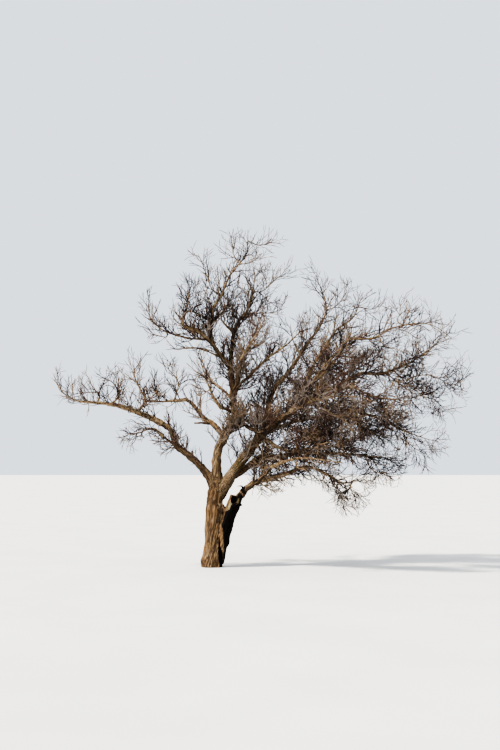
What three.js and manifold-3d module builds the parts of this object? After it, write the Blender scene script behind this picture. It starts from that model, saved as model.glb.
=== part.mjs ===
// A leafless, wind-shaped field tree in millimetres: X to the right of its photographed side,
// Y away from that side and Z up, with the origin in the middle of the flat cut at the ground.
import * as THREE from "three";
import { mergeVertices } from "three/addons/utils/BufferGeometryUtils.js";
import Module from "manifold-3d";

const wasm = await Module();
wasm.setup();

// Gaps, and how coarsely the solids are faceted
const SEAM = 0.3;
const WELD = 1e-4;
const TRUNK_SIDES = 22;
const PRONG_SIDES = 14;
const BOUGH_SIDES = 7;
const STEM_SIDES = 5;
const SIDE_LIMB_SIDES = 4;
const SHOOT_SIDES = 3;
const BALL_FACETS = [12, 8];
const TRUNK_STEP = 100;
const BOUGH_STEP = 185;
const STEM_STEP = 195;
const SPUR_STEP = 90;

// Limbs are drawn as [across, depth, up] on the plane through the trunk, as they look from a
// standing eye in front of the tree, so what lies deeper is spread out from that eye's line.
const EYE = { across: 555, back: 15625, up: 1460 };

// Trunk: its leaning axis, half its thickness at even shares of its height, and its root flare
const TRUNK_WAY = [[-4, 0, 0], [8, 0, 260], [22, 0, 480], [25, 0, 850], [34, 0, 1060], [82, 0, 1290]];
const TRUNK_RADII = [142, 136, 131, 130, 131, 129, 122, 113, 82];
const FLARE = { out: 13, lobe: 9, lobes: 5, turn: 2.5, height: 130 };

// Prong: the split right-hand stem that grows out of the trunk's foot and carries the low limb
const PRONG = {
  girth: [200, 194],
  way: [[66, -30, 60], [130, -40, 350], [192, -50, 550], [246, -58, 751], [355, -62, 1035]],
};
// Its rotten top, the crack down to the ground, and the burl in the crotch
const HOLLOW = { middle: [324, -152, 1004], half: [47, 78, 72], tilt: 0.35 };
const CRACK = { sides: 4, girth: [46, 10], way: [[152, -108, -30], [116, -129, 190], [84, -127, 410]] };
const BURL = { middle: [120, -92, 875], half: [62, 54, 84] };

// Boughs: what each grows on, at which share of that limb's length, girth at foot and tip, and way
const BOUGHS = {
  left_low: {
    on: "trunk", at: 0.86, girth: [128, 84],
    way: [[-105, -10, 1395], [-390, -60, 1672], [-525, -90, 1770], [-645, -130, 2040], [-780, -160, 2130]],
  },
  left_under: { on: "left_low", at: 0.52, girth: [50, 36], way: [[-660, -150, 1862], [-750, -190, 1935]] },
  leader_low: {
    on: "trunk", at: 0.97, girth: [146, 112],
    way: [[52, 0, 1500], [75, 5, 1710], [135, 10, 1860], [345, 20, 2205]],
  },
  left_high: {
    on: "leader_low", at: 0.68, girth: [90, 52],
    way: [[-15, 60, 2130], [-135, 110, 2205], [-308, 180, 2415], [-405, 220, 2490]],
  },
  cross: {
    on: "leader_low", at: 0.93, girth: [60, 46],
    way: [[435, -120, 2138], [540, -220, 2055], [675, -290, 1988], [825, -340, 1875]],
  },
  leader_high: {
    on: "leader_low", at: 1, girth: [108, 84],
    way: [[315, 30, 2370], [296, 45, 2620], [255, 70, 3015]],
  },
  mid_left: { on: "leader_high", at: 0.1, girth: [50, 40], way: [[195, -200, 2340], [114, -330, 2358]] },
  back_left: { on: "leader_high", at: 0.3, girth: [48, 40], way: [[200, 230, 2580], [105, 480, 2660]] },
  mid_right: { on: "leader_high", at: 0.4, girth: [56, 42], way: [[420, -20, 2730], [546, -60, 2835]] },
  front_top: { on: "leader_high", at: 0.5, girth: [48, 38], way: [[375, -90, 2760], [420, -250, 3090]] },
  back_top: { on: "leader_high", at: 0.8, girth: [46, 36], way: [[330, 220, 2960], [420, 400, 3060]] },
  top_left: {
    on: "leader_high", at: 0.93, girth: [76, 58],
    way: [[90, -60, 3180], [-30, -110, 3345], [-135, -150, 3442]],
  },
  crown: {
    on: "leader_high", at: 1, girth: [72, 52],
    way: [[278, 110, 3180], [285, 150, 3330], [308, 190, 3510]],
  },
  thin_low: { on: "top_left", at: 0.3, girth: [32, 26], way: [[-82, -120, 3214]] },
  top: { on: "top_left", at: 0.66, girth: [50, 40], way: [[-30, -70, 3480], [-8, -40, 3720]] },
  crown_left: { on: "top_left", at: 0.88, girth: [36, 30], way: [[-240, -90, 3400], [-350, -70, 3405]] },
  right_main: {
    on: "trunk", at: 0.76, girth: [172, 136],
    way: [[165, -30, 1170], [240, -40, 1298], [420, -60, 1560], [615, -80, 1815], [698, -80, 1928]],
  },
  right_low: {
    on: "right_main", at: 0.37, girth: [110, 80],
    way: [[405, 110, 1395], [503, 200, 1463], [690, 320, 1610], [825, 400, 1625]],
  },
  right_second: {
    on: "right_main", at: 1, girth: [130, 98],
    way: [[810, -70, 2040], [945, -60, 2138], [1200, -20, 2333]],
  },
  arch: {
    on: "right_second", at: 0.12, girth: [84, 60],
    way: [[810, 120, 2205], [834, 200, 2430], [960, 270, 2715]],
  },
  back: { on: "right_main", at: 0.9, girth: [68, 52], way: [[765, 180, 1965], [915, 420, 2040]] },
  front: { on: "right_second", at: 0.5, girth: [64, 50], way: [[1065, -260, 2220], [1185, -470, 2310]] },
  back_right: { on: "right_second", at: 0.68, girth: [58, 46], way: [[1245, 190, 2385], [1380, 400, 2505]] },
  upper_right: {
    on: "right_second", at: 0.8, girth: [62, 46],
    way: [[1305, 80, 2505], [1440, 140, 2835], [1545, 170, 3075]],
  },
  right_upper: {
    on: "right_second", at: 0.93, girth: [60, 46],
    way: [[1350, -80, 2535], [1485, -140, 2715], [1605, -180, 2828]],
  },
  right_far: { on: "right_second", at: 1, girth: [88, 62], way: [[1350, 0, 2422], [1658, 10, 2595]] },
  right_lower: { on: "right_far", at: 0.3, girth: [56, 42], way: [[1500, 180, 2415], [1650, 330, 2385]] },
  front_right: { on: "right_far", at: 0.6, girth: [50, 40], way: [[1635, -190, 2550], [1800, -380, 2595]] },
  front_upper: { on: "right_upper", at: 0.4, girth: [50, 40], way: [[1440, -330, 2700], [1530, -500, 2790]] },
  low_limb: {
    on: "prong", at: 0.88, girth: [112, 80],
    way: [[440, -60, 1085], [534, -90, 1179], [645, -130, 1248], [750, -170, 1302]],
  },
  low_front: { on: "low_limb", at: 0.84, girth: [54, 44], way: [[800, -330, 1388], [885, -470, 1478]] },
};

// Dead spurs fused on a limb: a broken stub, a claw-like snag and a spike
const SPURS = [
  { on: "left_high", girth: [52, 24], way: [[-20, 70, 2126], [-160, 62, 2132], [-285, 50, 2128]] },
  { on: "low_limb", girth: [44, 12], way: [[462, -80, 1110], [425, -110, 1205], [352, -118, 1190]] },
  { on: "trunk", girth: [30, 6], way: [[360, -70, 905], [440, -80, 912]] },
];

// Twig masses: the bough each one grows from, its stem's girth, how far it reaches from its own
// ways, how strongly its shoots turn up, the stem's way and then its side limbs' ways
const MASSES = {
  left_far: {
    on: "left_low", girth: 80, reach: 380, lift: 0.7,
    ways: [
      [[-935, -190, 2212], [-1222, -240, 2325], [-1550, -300, 2415], [-2160, -370, 2512], [-2415, -400, 2812]],
      [[-1020, -150, 2475], [-1165, -120, 2780], [-1200, -90, 3075]],
      [[-1410, -350, 2560], [-1538, -400, 2760], [-1700, -420, 2775]],
      [[-1710, -280, 2575], [-2100, -320, 2575]],
    ],
  },
  left_under: {
    on: "left_under", girth: 36, reach: 240, lift: -0.1,
    ways: [
      [[-885, -230, 2047], [-1125, -280, 1980], [-1245, -290, 1965], [-1350, -300, 2033]],
      [[-1170, -270, 1860], [-1245, -260, 1785]],
    ],
  },
  left_high: {
    on: "left_high", girth: 50, reach: 360, lift: 0.6,
    ways: [
      [[-546, 260, 2468], [-840, 330, 2452], [-1005, 360, 2460], [-1110, 380, 2535]],
      [[-525, 230, 2730], [-645, 200, 2910], [-773, 180, 3045]],
    ],
  },
  mid_left: {
    on: "mid_left", girth: 40, reach: 380, lift: 0.7,
    ways: [
      [[22, -500, 2496], [-69, -680, 2700], [-240, -940, 3225]],
      [[-210, -520, 2540], [-276, -560, 2610], [-330, -600, 2760]],
    ],
  },
  back_left: {
    on: "back_left", girth: 40, reach: 450, lift: 0.6,
    ways: [
      [[-30, 780, 2780], [-180, 1260, 3120], [-230, 1400, 3350]],
      [[-250, 700, 2900], [-420, 760, 3050]],
    ],
  },
  top: {
    on: "top", girth: 40, reach: 320, lift: 0.5,
    ways: [
      [[-8, -30, 3870], [120, -20, 4065], [252, -10, 4380], [495, 10, 4702], [525, 20, 5100]],
      [[300, 60, 4700], [278, 90, 4890], [225, 110, 5090]],
      [[660, 0, 4845], [815, -20, 4860], [960, -40, 4942]],
      [[495, -90, 4555], [640, -140, 4620], [750, -170, 4715]],
      [[-5, -110, 4140], [-110, -150, 4395], [-243, -180, 4728]],
    ],
  },
  elbow: {
    on: "top_left", girth: 56, reach: 320, lift: 0.6,
    ways: [
      [[-225, -180, 3525], [-375, -220, 3562], [-471, -250, 3645], [-420, -270, 3795], [-350, -290, 4192]],
      [[-345, -150, 3840], [-400, -120, 4000]],
    ],
  },
  crown_left: {
    on: "crown_left", girth: 30, reach: 320, lift: 0.7,
    ways: [
      [[-555, -60, 3456], [-780, -60, 3549], [-953, -70, 3735], [-993, -80, 3945]],
      [[-700, -20, 3430], [-915, 0, 3465], [-1005, 10, 3382]],
    ],
  },
  thin_low: {
    on: "thin_low", girth: 26, reach: 170, lift: 0.5,
    ways: [[[-216, -160, 3255], [-420, -220, 3262], [-550, -260, 3240], [-720, -300, 3390]]],
  },
  crown: {
    on: "crown", girth: 50, reach: 360, lift: 0.6,
    ways: [
      [[390, 220, 3675], [495, 250, 3795], [608, 290, 4155], [623, 300, 4485]],
      [[720, 330, 4125], [990, 380, 4340], [1125, 400, 4418]],
      [[720, 260, 3795], [922, 240, 3810], [1095, 230, 3878]],
      [[146, 150, 3660], [120, 130, 3735], [240, 110, 4005]],
    ],
  },
  front_top: {
    on: "front_top", girth: 38, reach: 400, lift: 0.6,
    ways: [
      [[510, -420, 3255], [735, -760, 3615], [795, -880, 3780]],
      [[640, -380, 3300], [820, -400, 3420]],
    ],
  },
  back_top: {
    on: "back_top", girth: 36, reach: 420, lift: 0.6,
    ways: [
      [[520, 620, 3210], [660, 1050, 3560], [690, 1180, 3750]],
      [[680, 640, 3300], [860, 700, 3440]],
    ],
  },
  mid_right: {
    on: "mid_right", girth: 42, reach: 340, lift: 0.7,
    ways: [[[716, -100, 3015], [938, -160, 3195], [1110, -200, 3315], [1395, -270, 3600], [1490, -290, 3745]]],
  },
  tall: {
    on: "arch", girth: 58, reach: 380, lift: 0.4,
    ways: [
      [[1065, 290, 2805], [1320, 310, 3180], [1695, 340, 3795], [1635, 360, 4170], [1500, 360, 4372]],
      [[1830, 330, 3885], [1958, 320, 4020], [2040, 310, 4178]],
      [[1230, 420, 2715], [1350, 520, 2600]],
      [[1240, 400, 3290], [1180, 440, 3480], [1165, 460, 3640]],
    ],
  },
  upper_right: {
    on: "upper_right", girth: 46, reach: 370, lift: 0.5,
    ways: [
      [[1680, 190, 3255], [1845, 210, 3525], [2115, 230, 3728], [2250, 250, 4058]],
      [[2415, 260, 3860], [2540, 270, 3908], [2640, 280, 3855]],
      [[1830, 260, 3640], [1905, 300, 3860]],
    ],
  },
  right_upper: {
    on: "right_upper", girth: 46, reach: 380, lift: 0.45,
    ways: [
      [[1905, -280, 3165], [2040, -320, 3390], [2410, -360, 3412], [2715, -390, 3570], [3270, -420, 3622],
        [3615, -440, 3405]],
      [[2575, -480, 3306], [2775, -560, 3240], [2955, -620, 3165]],
      [[2775, -330, 3690], [2895, -290, 3825], [3008, -270, 3840]],
    ],
  },
  right_mid: {
    on: "right_far", girth: 60, reach: 380, lift: 0.2,
    ways: [
      [[1875, 10, 2685], [2205, 0, 2872], [2505, -10, 2872], [3060, -40, 3098], [3435, -60, 3390]],
      [[2700, 60, 2805], [3015, 130, 2575], [3345, 170, 2468], [3495, 180, 2303]],
      [[2964, -90, 2805], [3270, -130, 2850], [3630, -170, 2705], [3840, -190, 2940]],
      [[3740, -170, 2640], [3860, -160, 2590]],
    ],
  },
  right_lower: {
    on: "right_lower", girth: 42, reach: 400, lift: -0.1,
    ways: [
      [[1980, 420, 2340], [2355, 480, 2250], [2985, 530, 1965], [3405, 550, 1838]],
      [[2865, 620, 1920], [3000, 660, 1770], [3225, 700, 1643]],
      [[2100, 600, 2150], [2400, 720, 2010], [2700, 800, 1880]],
    ],
  },
  low_right: {
    on: "right_low", girth: 66, reach: 340, lift: -0.1,
    ways: [
      [[1050, 470, 1635], [1298, 540, 1680], [2055, 690, 1665], [2445, 740, 1626], [2835, 780, 1598]],
      [[2360, 700, 1450], [2550, 720, 1380], [2775, 740, 1410]],
    ],
  },
  lowest: {
    on: "low_limb", girth: 72, reach: 260, lift: -0.25,
    ways: [
      [[930, -230, 1320], [1425, -400, 1470], [1656, -470, 1386], [1920, -540, 1238], [2295, -590, 1325]],
      [[1830, -500, 1140], [1920, -510, 1020], [2031, -520, 903]],
      [[2055, -620, 1155], [2220, -660, 1011]],
    ],
  },
  low_front: {
    on: "low_front", girth: 44, reach: 360, lift: -0.1,
    ways: [
      [[1080, -680, 1560], [1350, -900, 1605], [1980, -1200, 1530]],
      [[1250, -1050, 1480], [1380, -1250, 1430]],
    ],
  },
  cross: {
    on: "cross", girth: 46, reach: 360, lift: 0,
    ways: [
      [[945, -420, 1785], [1155, -560, 1710], [1455, -760, 1755], [2130, -1100, 1800]],
      [[830, -385, 1700]],
      [[1250, -640, 1860], [1500, -740, 1980], [1750, -820, 2050]],
    ],
  },
  front: {
    on: "front", girth: 50, reach: 460, lift: 0.1,
    ways: [
      [[1380, -740, 2415], [1635, -1010, 2505], [2235, -1500, 2535]],
      [[1300, -1000, 2560], [1380, -1300, 2700]],
      [[1700, -1180, 2330], [1930, -1330, 2200], [2130, -1430, 2060]],
    ],
  },
  back: {
    on: "back", girth: 52, reach: 460, lift: 0.1,
    ways: [
      [[1155, 720, 2130], [1485, 1020, 2205], [2205, 1500, 2235]],
      [[1130, 1000, 2240], [1180, 1320, 2420]],
      [[1500, 1120, 2080], [1800, 1280, 1960], [2040, 1370, 1850]],
    ],
  },
  back_right: {
    on: "back_right", girth: 46, reach: 440, lift: 0.3,
    ways: [
      [[1605, 650, 2655], [1905, 880, 2835], [2505, 1240, 3105]],
      [[1650, 1000, 2960], [1720, 1240, 3200]],
    ],
  },
  front_right: {
    on: "front_right", girth: 40, reach: 400, lift: 0,
    ways: [
      [[2040, -560, 2685], [2392, -760, 2535], [2805, -950, 2475], [2985, -1020, 2415]],
      [[2250, -600, 2480], [2470, -640, 2310], [2640, -680, 2130]],
    ],
  },
  front_upper: {
    on: "front_upper", girth: 40, reach: 440, lift: 0.4,
    ways: [[[1660, -720, 2960], [1800, -900, 3130], [1960, -1060, 3300]]],
  },
};

// How far a limb's foot is sunk in the tip it goes on from, before it is cut 0.3 mm clear
const SUNK_IN_TIP = 0.33;

// Side limbs: how a way tapers, and how thick a side limb's foot is beside its host
const WAY_TAPER = 0.8;
const SIDE_OF_HOST = 1.3;

// Shoots: the rule by which a mass branches from its ways
const SEED = 4021;
const GOLDEN_TURN = 2.399963;
const SHOOT = {
  spacing: 92, first: 50, jitter: 0.6, girth: 15, ofHost: 1.1, tip: 3,
  shortest: 0.5, spread: 0.75, fade: 0.45, lean: [0.7, 1.15],
};
const SHOOT_TESTS = [0.25, 0.5, 0.75, 1];
const SPACE_MARGIN = 0.05;
const LIMB_MARGIN = 14;
const GROUND_CLEAR = 150;

// Bark of the trunk, the boughs and the twigs
const BARK = new THREE.MeshStandardMaterial({ color: 0x7b6149, roughness: 0.95, metalness: 0 });
const BOUGH_BARK = new THREE.MeshStandardMaterial({ color: 0x6d5440, roughness: 0.92, metalness: 0 });
const TWIG_BARK = new THREE.MeshStandardMaterial({ color: 0x574236, roughness: 0.9, metalness: 0 });

const UP = new THREE.Vector3(0, 0, 1);
const RIGHT = new THREE.Vector3(1, 0, 0);
const AWAY = new THREE.Vector3(0, 1, 0);

// A repeatable dice of the mulberry kind, and the seed of the n-th thing under a seed
function diceOf(seed) {
  let state = seed >>> 0;
  return () => {
    state = (state + 0x6d2b79f5) >>> 0;
    let t = Math.imul(state ^ (state >>> 15), state | 1);
    t ^= t + Math.imul(t ^ (t >>> 7), t | 61);
    return ((t ^ (t >>> 14)) >>> 0) / 4294967296;
  };
}

function seedUnder(seed, n) {
  return (Math.imul(seed, 1664525) + Math.imul(n + 1, 1013904223)) >>> 0;
}

// From a drawn point to its real place
function place([across, depth, up]) {
  const spread = 1 + depth / EYE.back;
  return new THREE.Vector3(EYE.across + (across - EYE.across) * spread, depth, EYE.up + (up - EYE.up) * spread);
}

// A limb is a row of stations: a place, the way it runs there, two directions across it, a radius
function limbAlong(points, radiusAt, step, level = false) {
  const curve = new THREE.CatmullRomCurve3(points, false, "centripetal");
  const count = Math.max(1, Math.round(curve.getLength() / step));
  const places = curve.getSpacedPoints(count);
  const stations = [];
  let side = null;
  for (let i = 0; i <= count; i += 1) {
    const before = places[Math.max(i - 1, 0)];
    const after = places[Math.min(i + 1, count)];
    const along = level ? UP.clone() : after.clone().sub(before).normalize();
    if (!side) {
      const helper = Math.abs(along.y) > 0.9 ? RIGHT : AWAY;
      side = level ? RIGHT.clone() : helper.clone().cross(along).normalize();
    }
    side = side.clone().addScaledVector(along, -side.dot(along)).normalize();
    const other = side.clone().cross(along);
    stations.push({ place: places[i], along, side, other, radius: radiusAt(i / count) });
  }
  return stations;
}

function taper(girth, power = 1) {
  return (share) => (girth[0] + (girth[1] - girth[0]) * share ** power) / 2;
}

// The station, between its drawn ones, at a share of a limb's length
function stationAt(stations, share) {
  const x = Math.min(Math.max(share, 0), 1) * (stations.length - 1);
  const i = Math.min(Math.floor(x), stations.length - 2);
  const a = stations[i];
  const b = stations[i + 1];
  return {
    place: a.place.clone().lerp(b.place, x - i),
    along: a.along.clone().lerp(b.along, x - i).normalize(),
    side: a.side,
    other: a.other,
    radius: a.radius + (b.radius - a.radius) * (x - i),
  };
}

// A closed geometry, its shared corners merged, as a solid
function solidOf(geometry) {
  geometry.deleteAttribute("normal");
  geometry.deleteAttribute("uv");
  const welded = mergeVertices(geometry, WELD);
  const mesh = new wasm.Mesh({
    numProp: 3,
    vertProperties: new Float32Array(welded.attributes.position.array),
    triVerts: new Uint32Array(welded.index.array),
  });
  return new wasm.Manifold(mesh);
}

// A limb's solid: a cylinder whose rings are carried to the stations. grow swells it evenly, and
// swell adds to its radius by height and angle.
function limbSolid(stations, sides, { pointed = false, grow = 0, swell = () => 0 } = {}) {
  const rings = stations.length - 1;
  const cylinder = new THREE.CylinderGeometry(pointed ? 0 : 1, 1, 1, sides, rings);
  const corner = new THREE.Vector3();
  const corners = cylinder.attributes.position;
  for (let n = 0; n < corners.count; n += 1) {
    corner.fromBufferAttribute(corners, n);
    const ring = Math.round((corner.y + 0.5) * rings);
    const { place: middle, along, side, other, radius } = stations[ring];
    const reach = Math.hypot(corner.x, corner.z);
    const angle = Math.atan2(corner.z, corner.x);
    const out = reach > WELD ? radius + grow + swell(middle.z, angle) : 0;
    const end = (ring === rings ? grow : 0) - (ring === 0 ? grow : 0);
    corner.copy(middle).addScaledVector(along, end);
    corner.addScaledVector(side, out * Math.cos(angle)).addScaledVector(other, out * Math.sin(angle));
    corners.setXYZ(n, corner.x, corner.y, corner.z);
  }
  return solidOf(cylinder);
}

function blobSolid({ middle, half, tilt = 0 }, grow = 0) {
  const ball = new THREE.SphereGeometry(1, ...BALL_FACETS);
  ball.scale(half[0] + grow, half[1] + grow, half[2] + grow);
  ball.rotateY(tilt);
  ball.translate(...middle);
  return solidOf(ball);
}

// The largest connected piece, so that no loose scrap is left by a cut
function wholePiece(solid) {
  const pieces = solid.decompose();
  return pieces.reduce((best, piece) => (piece.volume() > best.volume() ? piece : best));
}

// Two solids are near when their boxes overlap
function boxesMeet(a, b) {
  const p = a.boundingBox();
  const q = b.boundingBox();
  return [0, 1, 2].every((k) => p.min[k] < q.max[k] && q.min[k] < p.max[k]);
}

const limbs = {};
const spurs = {};
const nodes = [];
const swollen = [];

// Adds a node, cut 0.3 mm clear of every limb that was made before it
function addNode(name, material, solid, swollenSolid) {
  let cut = solid;
  for (const earlier of swollen) {
    if (boxesMeet(cut, earlier)) {
      cut = cut.subtract(earlier);
    }
  }
  nodes.push({ name, material, solid: wholePiece(cut) });
  if (swollenSolid) {
    swollen.push(swollenSolid);
  }
}

// Trunk with its flare, prong, hollow, crack and burl
function flareAt(height, angle) {
  const fade = Math.exp(-height / FLARE.height);
  return fade * (FLARE.out + FLARE.lobe * Math.cos(FLARE.lobes * angle + FLARE.turn));
}

function trunkBody(grow) {
  const stem = limbSolid(limbs.trunk, TRUNK_SIDES, { grow, swell: flareAt });
  const prong = limbSolid(limbs.prong, PRONG_SIDES, { grow });
  return stem.add(prong).add(blobSolid(BURL, grow)).add(spurSolid("trunk", grow));
}

function spurSolid(name, grow) {
  const parts = SPURS.filter((spur) => spur.on === name).map((spur) => {
    const stations = limbAlong(spur.way.map(place), taper(spur.girth), SPUR_STEP);
    return limbSolid(stations, STEM_SIDES, { grow });
  });
  return wasm.Manifold.union(parts);
}

function radiusByTable(table) {
  return (share) => {
    const x = share * (table.length - 1);
    const i = Math.min(Math.floor(x), table.length - 2);
    return table[i] + (table[i + 1] - table[i]) * (x - i);
  };
}

function makeTrunk() {
  const points = TRUNK_WAY.map(place);
  limbs.trunk = limbAlong(points, radiusByTable(TRUNK_RADII), TRUNK_STEP, true);
  limbs.prong = limbAlong(PRONG.way.map(place), taper(PRONG.girth), BOUGH_STEP);
  const crack = limbSolid(limbAlong(CRACK.way.map(place), taper(CRACK.girth), BOUGH_STEP), CRACK.sides);
  const carved = trunkBody(0).subtract(blobSolid(HOLLOW)).subtract(crack);
  addNode("trunk", BARK, carved, trunkBody(SEAM));
}

// Where a limb starts: on its parent's axis, and just inside the tip where it goes on from there
function rootOf({ on, at }) {
  const station = stationAt(limbs[on], at);
  const sunk = at === 1 ? station.radius * SUNK_IN_TIP : 0;
  return station.place.addScaledVector(station.along, -sunk);
}

function makeBough(name, bough) {
  const points = [rootOf(bough), ...bough.way.map(place)];
  limbs[name] = limbAlong(points, taper(bough.girth), BOUGH_STEP);
  const grown = (grow) => {
    const limb = limbSolid(limbs[name], BOUGH_SIDES, { grow });
    return SPURS.some((spur) => spur.on === name) ? limb.add(spurSolid(name, grow)) : limb;
  };
  addNode(`bough_${name}`, BOUGH_BARK, grown(0), grown(SEAM));
}

// The ways of a mass: the stem from its bough's tip, then each side limb from the nearest station
function waysOf(mass) {
  const stem = [rootOf({ on: mass.on, at: 1 }), ...mass.ways[0].map(place)];
  const ways = [limbAlong(stem, taper([mass.girth, SHOOT.tip * 2], WAY_TAPER), STEM_STEP)];
  for (const drawn of mass.ways.slice(1)) {
    const points = drawn.map(place);
    let foot = null;
    for (const host of ways) {
      for (const station of host.slice(0, -1)) {
        const gap = station.place.distanceTo(points[0]);
        if (!foot || gap < foot.gap) {
          foot = { gap, station };
        }
      }
    }
    const girth = Math.max(foot.station.radius * SIDE_OF_HOST, SHOOT.girth);
    ways.push(limbAlong([foot.station.place, ...points], taper([girth, SHOOT.tip * 2], WAY_TAPER), STEM_STEP));
  }
  return ways;
}

// How far a point is from the nearest of a mass's ways, and how far it is clear of a limb's skin
const gapAlong = new THREE.Vector3();
const gapOut = new THREE.Vector3();
function segmentGap(point, a, b) {
  gapAlong.copy(b.place).sub(a.place);
  gapOut.copy(point).sub(a.place);
  const share = Math.min(Math.max(gapOut.dot(gapAlong) / gapAlong.lengthSq(), 0), 1);
  return { gap: gapOut.addScaledVector(gapAlong, -share).length(), share };
}

function gapToWays(point, ways) {
  let nearest = Infinity;
  for (const way of ways) {
    for (let i = 0; i + 1 < way.length; i += 1) {
      nearest = Math.min(nearest, segmentGap(point, way[i], way[i + 1]).gap);
    }
  }
  return nearest;
}

function clearOfLimbs(point) {
  return Object.values(limbs).every((stations) => {
    for (let i = 0; i + 1 < stations.length; i += 1) {
      const { gap, share } = segmentGap(point, stations[i], stations[i + 1]);
      const skin = stations[i].radius + (stations[i + 1].radius - stations[i].radius) * share;
      if (gap < skin + LIMB_MARGIN) {
        return false;
      }
    }
    return true;
  });
}

// A mass's own space: within its reach, nearer to its ways than to any other's, clear of limbs
function inOwnSpace(point, mass) {
  const own = gapToWays(point, mass.grown) / mass.reach;
  if (own > 1 || point.z < GROUND_CLEAR || !clearOfLimbs(point)) {
    return false;
  }
  return Object.values(MASSES).every((other) => (
    other === mass || gapToWays(point, other.grown) / other.reach > own + SPACE_MARGIN
  ));
}

// One shoot: where it leaves its way, and its tip
function shootFrom(way, share, n, mass, dice) {
  const foot = stationAt(way, share);
  const turn = GOLDEN_TURN * n + dice();
  const lean = SHOOT.lean[0] + (SHOOT.lean[1] - SHOOT.lean[0]) * dice();
  const heading = foot.along.clone().multiplyScalar(Math.cos(lean));
  heading.addScaledVector(foot.side, Math.sin(lean) * Math.cos(turn));
  heading.addScaledVector(foot.other, Math.sin(lean) * Math.sin(turn));
  heading.z += mass.lift;
  heading.normalize();
  const length = mass.reach * (SHOOT.shortest + SHOOT.spread * dice()) * (1 - SHOOT.fade * share);
  const tip = foot.place.clone().addScaledVector(heading, length);
  return { foot: foot.place, tip, along: heading, girth: Math.min(foot.radius * SHOOT.ofHost, SHOOT.girth) };
}

function shootsOf(mass, seed) {
  const shoots = [];
  mass.grown.forEach((way, w) => {
    const length = STEM_STEP * (way.length - 1);
    const count = Math.floor((length - SHOOT.first) / SHOOT.spacing);
    for (let n = 0; n < count; n += 1) {
      const dice = diceOf(seedUnder(seedUnder(seed, w), n));
      const share = (SHOOT.first + SHOOT.spacing * (n + dice() * SHOOT.jitter)) / length;
      const shoot = shootFrom(way, share, n, mass, dice);
      if (SHOOT_TESTS.every((part) => inOwnSpace(shoot.foot.clone().lerp(shoot.tip, part), mass))) {
        shoots.push(shoot);
      }
    }
  });
  return shoots;
}

function makeMass(name, mass, seed) {
  const parts = mass.grown.map((way, w) => limbSolid(way, w ? SIDE_LIMB_SIDES : STEM_SIDES, { pointed: true }));
  for (const shoot of shootsOf(mass, seed)) {
    const length = shoot.foot.distanceTo(shoot.tip);
    const stations = limbAlong([shoot.foot, shoot.tip], taper([shoot.girth, SHOOT.tip]), length);
    parts.push(limbSolid(stations, SHOOT_SIDES, { pointed: true }));
  }
  addNode(`twigs_${name}`, TWIG_BARK, wasm.Manifold.union(parts), null);
}

makeTrunk();
for (const [name, bough] of Object.entries(BOUGHS)) {
  makeBough(name, bough);
}
for (const mass of Object.values(MASSES)) {
  mass.grown = waysOf(mass);
}
Object.entries(MASSES).forEach(([name, mass], n) => makeMass(name, mass, seedUnder(SEED, n)));

// The tree, one named mesh for each solid
const tree = new THREE.Group();
for (const { name, material, solid } of nodes) {
  const { numProp, vertProperties, triVerts } = solid.getMesh();
  const corners = new Float32Array((vertProperties.length / numProp) * 3);
  for (let n = 0; n < corners.length / 3; n += 1) {
    corners.set(vertProperties.subarray(n * numProp, n * numProp + 3), n * 3);
  }
  const geometry = new THREE.BufferGeometry();
  geometry.setAttribute("position", new THREE.BufferAttribute(corners, 3));
  geometry.setIndex(new THREE.BufferAttribute(new Uint32Array(triVerts), 1));
  geometry.computeVertexNormals();
  const mesh = new THREE.Mesh(geometry, material);
  mesh.name = name;
  tree.add(mesh);
}

export default tree;
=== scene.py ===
"""The looks of a leafless, wind-shaped field tree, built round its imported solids. The tree is worked
out in millimetres, by the rule of the part's own source, and its meshes are made in metres."""

import math
from types import SimpleNamespace

import bmesh
import bpy
import numpy as np
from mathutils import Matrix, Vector, noise


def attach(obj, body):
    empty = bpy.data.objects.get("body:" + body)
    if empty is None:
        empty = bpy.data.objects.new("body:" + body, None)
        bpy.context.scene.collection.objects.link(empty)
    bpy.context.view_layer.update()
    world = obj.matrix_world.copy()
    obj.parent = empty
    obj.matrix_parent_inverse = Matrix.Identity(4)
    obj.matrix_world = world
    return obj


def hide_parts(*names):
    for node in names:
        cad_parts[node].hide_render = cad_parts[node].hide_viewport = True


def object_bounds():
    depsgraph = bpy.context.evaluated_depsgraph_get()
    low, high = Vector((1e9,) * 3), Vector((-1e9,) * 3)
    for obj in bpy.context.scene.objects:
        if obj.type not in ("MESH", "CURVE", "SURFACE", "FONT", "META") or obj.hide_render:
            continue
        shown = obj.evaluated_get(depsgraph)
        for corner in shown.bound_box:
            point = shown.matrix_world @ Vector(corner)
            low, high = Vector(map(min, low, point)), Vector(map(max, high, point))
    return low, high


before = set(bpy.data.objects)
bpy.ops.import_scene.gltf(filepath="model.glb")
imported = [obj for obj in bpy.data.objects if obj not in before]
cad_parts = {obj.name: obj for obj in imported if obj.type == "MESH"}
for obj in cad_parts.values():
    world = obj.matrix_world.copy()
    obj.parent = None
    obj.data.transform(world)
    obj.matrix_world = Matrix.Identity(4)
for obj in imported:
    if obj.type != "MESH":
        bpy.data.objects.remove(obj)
CAD_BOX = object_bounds()
MM = 0.001
UP = np.array([0.0, 0.0, 1.0])
RIGHT = np.array([1.0, 0.0, 0.0])
AWAY = np.array([0.0, 1.0, 0.0])

# The least length that a direction is taken of, how steep a limb may run before the direction across
# it comes from another axis, and how many points are measured at once
LEAST_LENGTH = 1e-12
STEEP = 0.9
BATCH = 6000

# The photographed view: the lens for the image's longer side, and the eye with its upward pitch
LENS_MM = 50
SENSOR_MM = 36
PITCH_DEG = 5.1
EYE = {"across": 555, "back": 15625, "up": 1460}

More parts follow.
